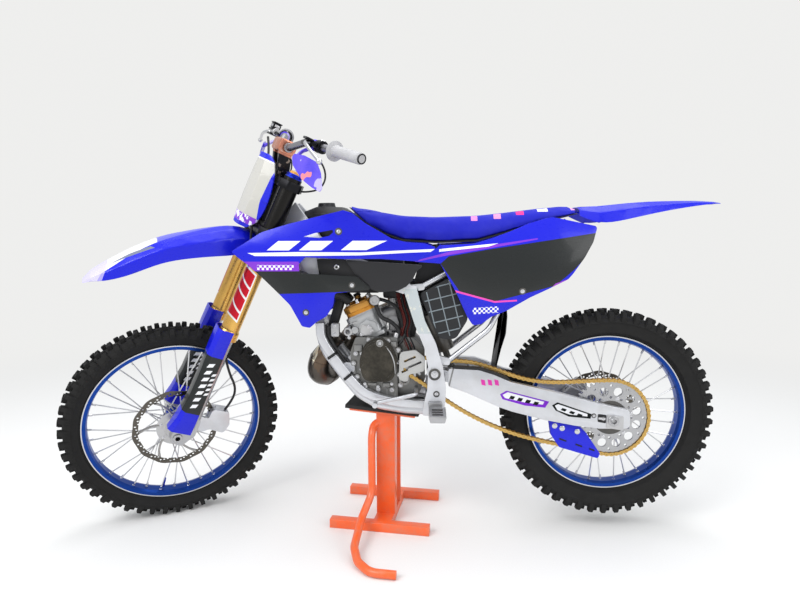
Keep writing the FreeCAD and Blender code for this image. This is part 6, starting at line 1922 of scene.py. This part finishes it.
def make_clutch_bolts():
    """Ring of bolts on the clutch cover, and the filler cap."""
    bm = bmesh.new()
    tree = faces_of(frame["nodes"]["engine_covers"].data)
    for number in range(8):
        angle = math.radians(45 * number + 20)
        x, z = -0.008 + 0.0645 * math.cos(angle), 0.552 + 0.0645 * math.sin(angle)
        spot, *_ = tree.ray_cast(Vector((x, 0.6, z)), Vector((0, -1, 0)))
        if spot:
            bolt(bm, spot, (0, 1, 0), 0.0042, 0.0035)
    turned(bm, Matrix.Translation((0.07, 0.08, 0.592)) @ Matrix.Rotation(-math.pi / 2, 4, "X"),
           ((0.0, 0.0), (0.013, 0.0), (0.0125, 0.006), (0.009, 0.008), (0.0, 0.008)), 20, False, 1)
    piece("clutch_bolts", bm, CHASSIS, ["steel_bolt", "rubber"])


# Settings


class BikeColours(bpy.types.PropertyGroup):
    plastic_blue: FloatVectorProperty(
        name="Plastic blue", description="Fenders, shrouds, side panels and guards",
        subtype="COLOR", size=3, min=0, max=1, default=BLUE,
    )
    fork_gold: FloatVectorProperty(
        name="Fork gold", description="Lower outer tubes of the fork",
        subtype="COLOR", size=3, min=0, max=1, default=(0.68, 0.4, 0.1),
    )
    stand_orange: FloatVectorProperty(
        name="Stand orange", description="Powder coat of the lift stand",
        subtype="COLOR", size=3, min=0, max=1, default=(0.85, 0.12, 0.02),
    )


class StageSettings(bpy.types.PropertyGroup):
    lamp_power: FloatProperty(
        name="Lamp power", description="Power of the large lamp overhead",
        default=70.0, min=0, unit="POWER",
    )
    sky_level: FloatProperty(
        name="Sky level", description="Even light from all round", default=0.75, min=0, subtype="FACTOR",
    )


# Steps


class BIKE_OT_finishes(bpy.types.Operator):
    """Makes the finishes and gives them to the carried-over nodes"""

    bl_idname = "bike.finishes"
    bl_label = "Finishes"

    def execute(self, context):
        make_finishes(context.scene.bike_colours)
        for finish, nodes in CAD_FINISH.items():
            for node in nodes:
                dress(node, finish)
        for finish, nodes in SOFTENED.items():
            for node in nodes:
                softened(node, finish)
        for finish, nodes in SMOOTHED.items():
            for node in nodes:
                smoothed(node, finish)
        return {"FINISHED"}


class BIKE_OT_wheels(bpy.types.Operator):
    """Makes the tyres with their lugs, the nipples, the discs and the radiators"""

    bl_idname = "bike.wheels"
    bl_label = "Wheels"

    def execute(self, context):
        make_wheels()
        return {"FINISHED"}


class BIKE_OT_cords(bpy.types.Operator):
    """Lays the brake hose and the control cables, and makes the controls and the fork's caps"""

    bl_idname = "bike.cords"
    bl_label = "Cords"

    def execute(self, context):
        make_cords()
        make_controls()
        make_fork_caps()
        return {"FINISHED"}


class BIKE_OT_engine(bpy.types.Operator):
    """Makes the head, the castings, the hoses, the looms and the exhaust's details"""

    bl_idname = "bike.engine"
    bl_label = "Engine"

    def execute(self, context):
        make_head()
        make_barrel_parts()
        make_case_parts()
        make_cover_rim()
        make_hoses()
        make_chamber()
        make_clutch_bolts()
        return {"FINISHED"}


class BIKE_OT_frame(bpy.types.Operator):
    """Makes the cradle's sides, the small parts around the frame and the fasteners"""

    bl_idname = "bike.frame"
    bl_label = "Frame"

    def execute(self, context):
        make_cradle()
        make_noses()
        make_duct()
        make_seat_pan()
        make_guide_parts()
        make_arm_ends()
        make_skirts()
        make_fillers()
        make_fasteners()
        return {"FINISHED"}


class BIKE_OT_chain(bpy.types.Operator):
    """Makes the chain's links on the source's pins"""

    bl_idname = "bike.chain"
    bl_label = "Chain"

    def execute(self, context):
        make_chain()
        return {"FINISHED"}


class BIKE_OT_seat(bpy.types.Operator):
    """Swells the seat pad and sews its seams"""

    bl_idname = "bike.seat"
    bl_label = "Seat"

    def execute(self, context):
        make_seat()
        return {"FINISHED"}


class BIKE_OT_stage(bpy.types.Operator):
    """Lays the pale floor and sets the lamps, the world and the camera"""

    bl_idname = "bike.stage"
    bl_label = "Stage"

    def execute(self, context):
        settings = context.scene.bike_stage
        make_floor()
        make_lamps(settings)
        make_world(settings)
        make_camera(context.scene)
        view = context.scene.view_settings
        view.view_transform = "Standard"
        return {"FINISHED"}


floor_reach = 30.0
floor_pale = (0.8, 0.8, 0.79)
paper_white = (0.86, 0.86, 0.85, 1.0)


def make_floor():
    """Pale, grainy floor that fades into white away from the bike."""
    finish = Finish("Pale floor", floor_pale, 0.85)
    grit = finish.noise(220.0, 4.0, 0.7)
    finish.set("Base Color", finish.mix(grit, (0.74, 0.74, 0.73, 1.0), (0.84, 0.84, 0.83, 1.0)))
    finish.bump(grit, 0.1, 0.001)
    far = finish.add("ShaderNodeEmission", {}, paper_white, 1.0)
    way = finish.add("ShaderNodeVectorMath", {"operation": "LENGTH", "pick": "Value"}, finish.spot)
    share = finish.add("ShaderNodeMapRange", {"interpolation_type": "SMOOTHSTEP"}, way, 1.6, 4.2, 0.0, 1.0)
    near = Socket(finish, finish.surface.outputs["BSDF"])
    both = finish.add("ShaderNodeMixShader", {}, share, near, far)
    finish.tree.links.new(both.output, finish.tree.nodes["Material Output"].inputs["Surface"])
    mesh = bpy.data.meshes.new("floor")
    corners = [(x * floor_reach, y * floor_reach, 0.0) for x, y in ((-1, -1), (1, -1), (1, 1), (-1, 1))]
    mesh.from_pydata(corners, [], [(0, 1, 2, 3)])
    floor = bpy.data.objects.new("floor", mesh)
    floor.data.materials.append(finish.material)
    bpy.context.collection.objects.link(floor)


def make_lamps(settings):
    """Key, top and fill lamps, turned to the bike's middle."""
    lamps = (
        ("key_lamp", (-2.2, -2.6, 3.4), 2.4, settings.lamp_power * 1.6),
        ("top_lamp", (0.3, 0.4, 3.8), 3.2, settings.lamp_power),
        ("fill_lamp", (2.8, -2.2, 2.0), 2.2, settings.lamp_power * 0.6),
    )
    for name, spot, size, power in lamps:
        light = bpy.data.lights.new(name, "AREA")
        light.size = size
        light.energy = power
        lamp = bpy.data.objects.new(name, light)
        way = Vector((0, 0, 0.6)) - Vector(spot)
        lamp.matrix_world = Matrix.Translation(spot) @ way.to_track_quat("-Z", "Y").to_matrix().to_4x4()
        bpy.context.collection.objects.link(lamp)


def make_world(settings):
    """Even light from all round, with white paper where the camera looks past the bike."""
    world = bpy.data.worlds.new("studio")
    world.use_nodes = True
    tree = world.node_tree
    shade = tree.nodes["Background"]
    shade.inputs["Color"].default_value = (0.95, 0.97, 1.0, 1.0)
    shade.inputs["Strength"].default_value = settings.sky_level
    paper = tree.nodes.new("ShaderNodeBackground")
    paper.inputs["Color"].default_value = paper_white
    paths = tree.nodes.new("ShaderNodeLightPath")
    switch = tree.nodes.new("ShaderNodeMixShader")
    tree.links.new(paths.outputs["Is Camera Ray"], switch.inputs[0])
    tree.links.new(shade.outputs[0], switch.inputs[1])
    tree.links.new(paper.outputs[0], switch.inputs[2])
    tree.links.new(switch.outputs[0], tree.nodes["World Output"].inputs["Surface"])
    bpy.context.scene.world = world


camera_spot = (0.1305, -1.942, 0.984)
camera_turn = math.radians(2.46)
camera_dip = math.radians(6.83)
camera_roll = math.radians(-0.12)
camera_lens = 26.78


def make_camera(scene):
    """Camera at the photograph's place."""
    data = bpy.data.cameras.new("camera")
    data.lens = camera_lens
    data.sensor_width = 36.0
    camera = bpy.data.objects.new("camera", data)
    turn = Matrix.Rotation(camera_turn, 4, "Z") @ Matrix.Rotation(math.pi / 2 - camera_dip, 4, "X")
    camera.matrix_world = Matrix.Translation(camera_spot) @ turn @ Matrix.Rotation(camera_roll, 4, "Z")
    bpy.context.collection.objects.link(camera)
    scene.camera = camera


class BIKE_PT_panel(bpy.types.Panel):
    """Lists the steps and settings"""

    bl_idname = "BIKE_PT_panel"
    bl_label = "Dirt bike"
    bl_space_type = "VIEW_3D"
    bl_region_type = "UI"
    bl_category = "Dirt bike"

    def draw(self, context):
        for group in (context.scene.bike_colours, context.scene.bike_stage):
            for name in group.__annotations__:
                self.layout.prop(group, name)
        for step in STEPS:
            self.layout.operator(step.bl_idname)


STEPS = (
    BIKE_OT_stage, BIKE_OT_finishes, BIKE_OT_cords, BIKE_OT_wheels, BIKE_OT_engine, BIKE_OT_frame,
    BIKE_OT_chain,
    BIKE_OT_seat,
)
GROUPS = {"bike_colours": BikeColours, "bike_stage": StageSettings}


def register():
    """Adds the property groups, the steps and the panel to Blender."""
    for group in GROUPS.values():
        bpy.utils.register_class(group)
    for name, group in GROUPS.items():
        setattr(bpy.types.Scene, name, PointerProperty(type=group))
    for step in STEPS:
        bpy.utils.register_class(step)
    bpy.utils.register_class(BIKE_PT_panel)


def unregister():
    """Takes the panel, the steps and the property groups out again."""
    bpy.utils.unregister_class(BIKE_PT_panel)
    for step in reversed(STEPS):
        bpy.utils.unregister_class(step)
    for name, group in GROUPS.items():
        delattr(bpy.types.Scene, name)
        bpy.utils.unregister_class(group)


def main():
    """Runs every step in order."""
    register()
    for step in STEPS:
        family, name = step.bl_idname.split(".")
        getattr(getattr(bpy.ops, family), name)()


if __name__ == "__main__":
    main()
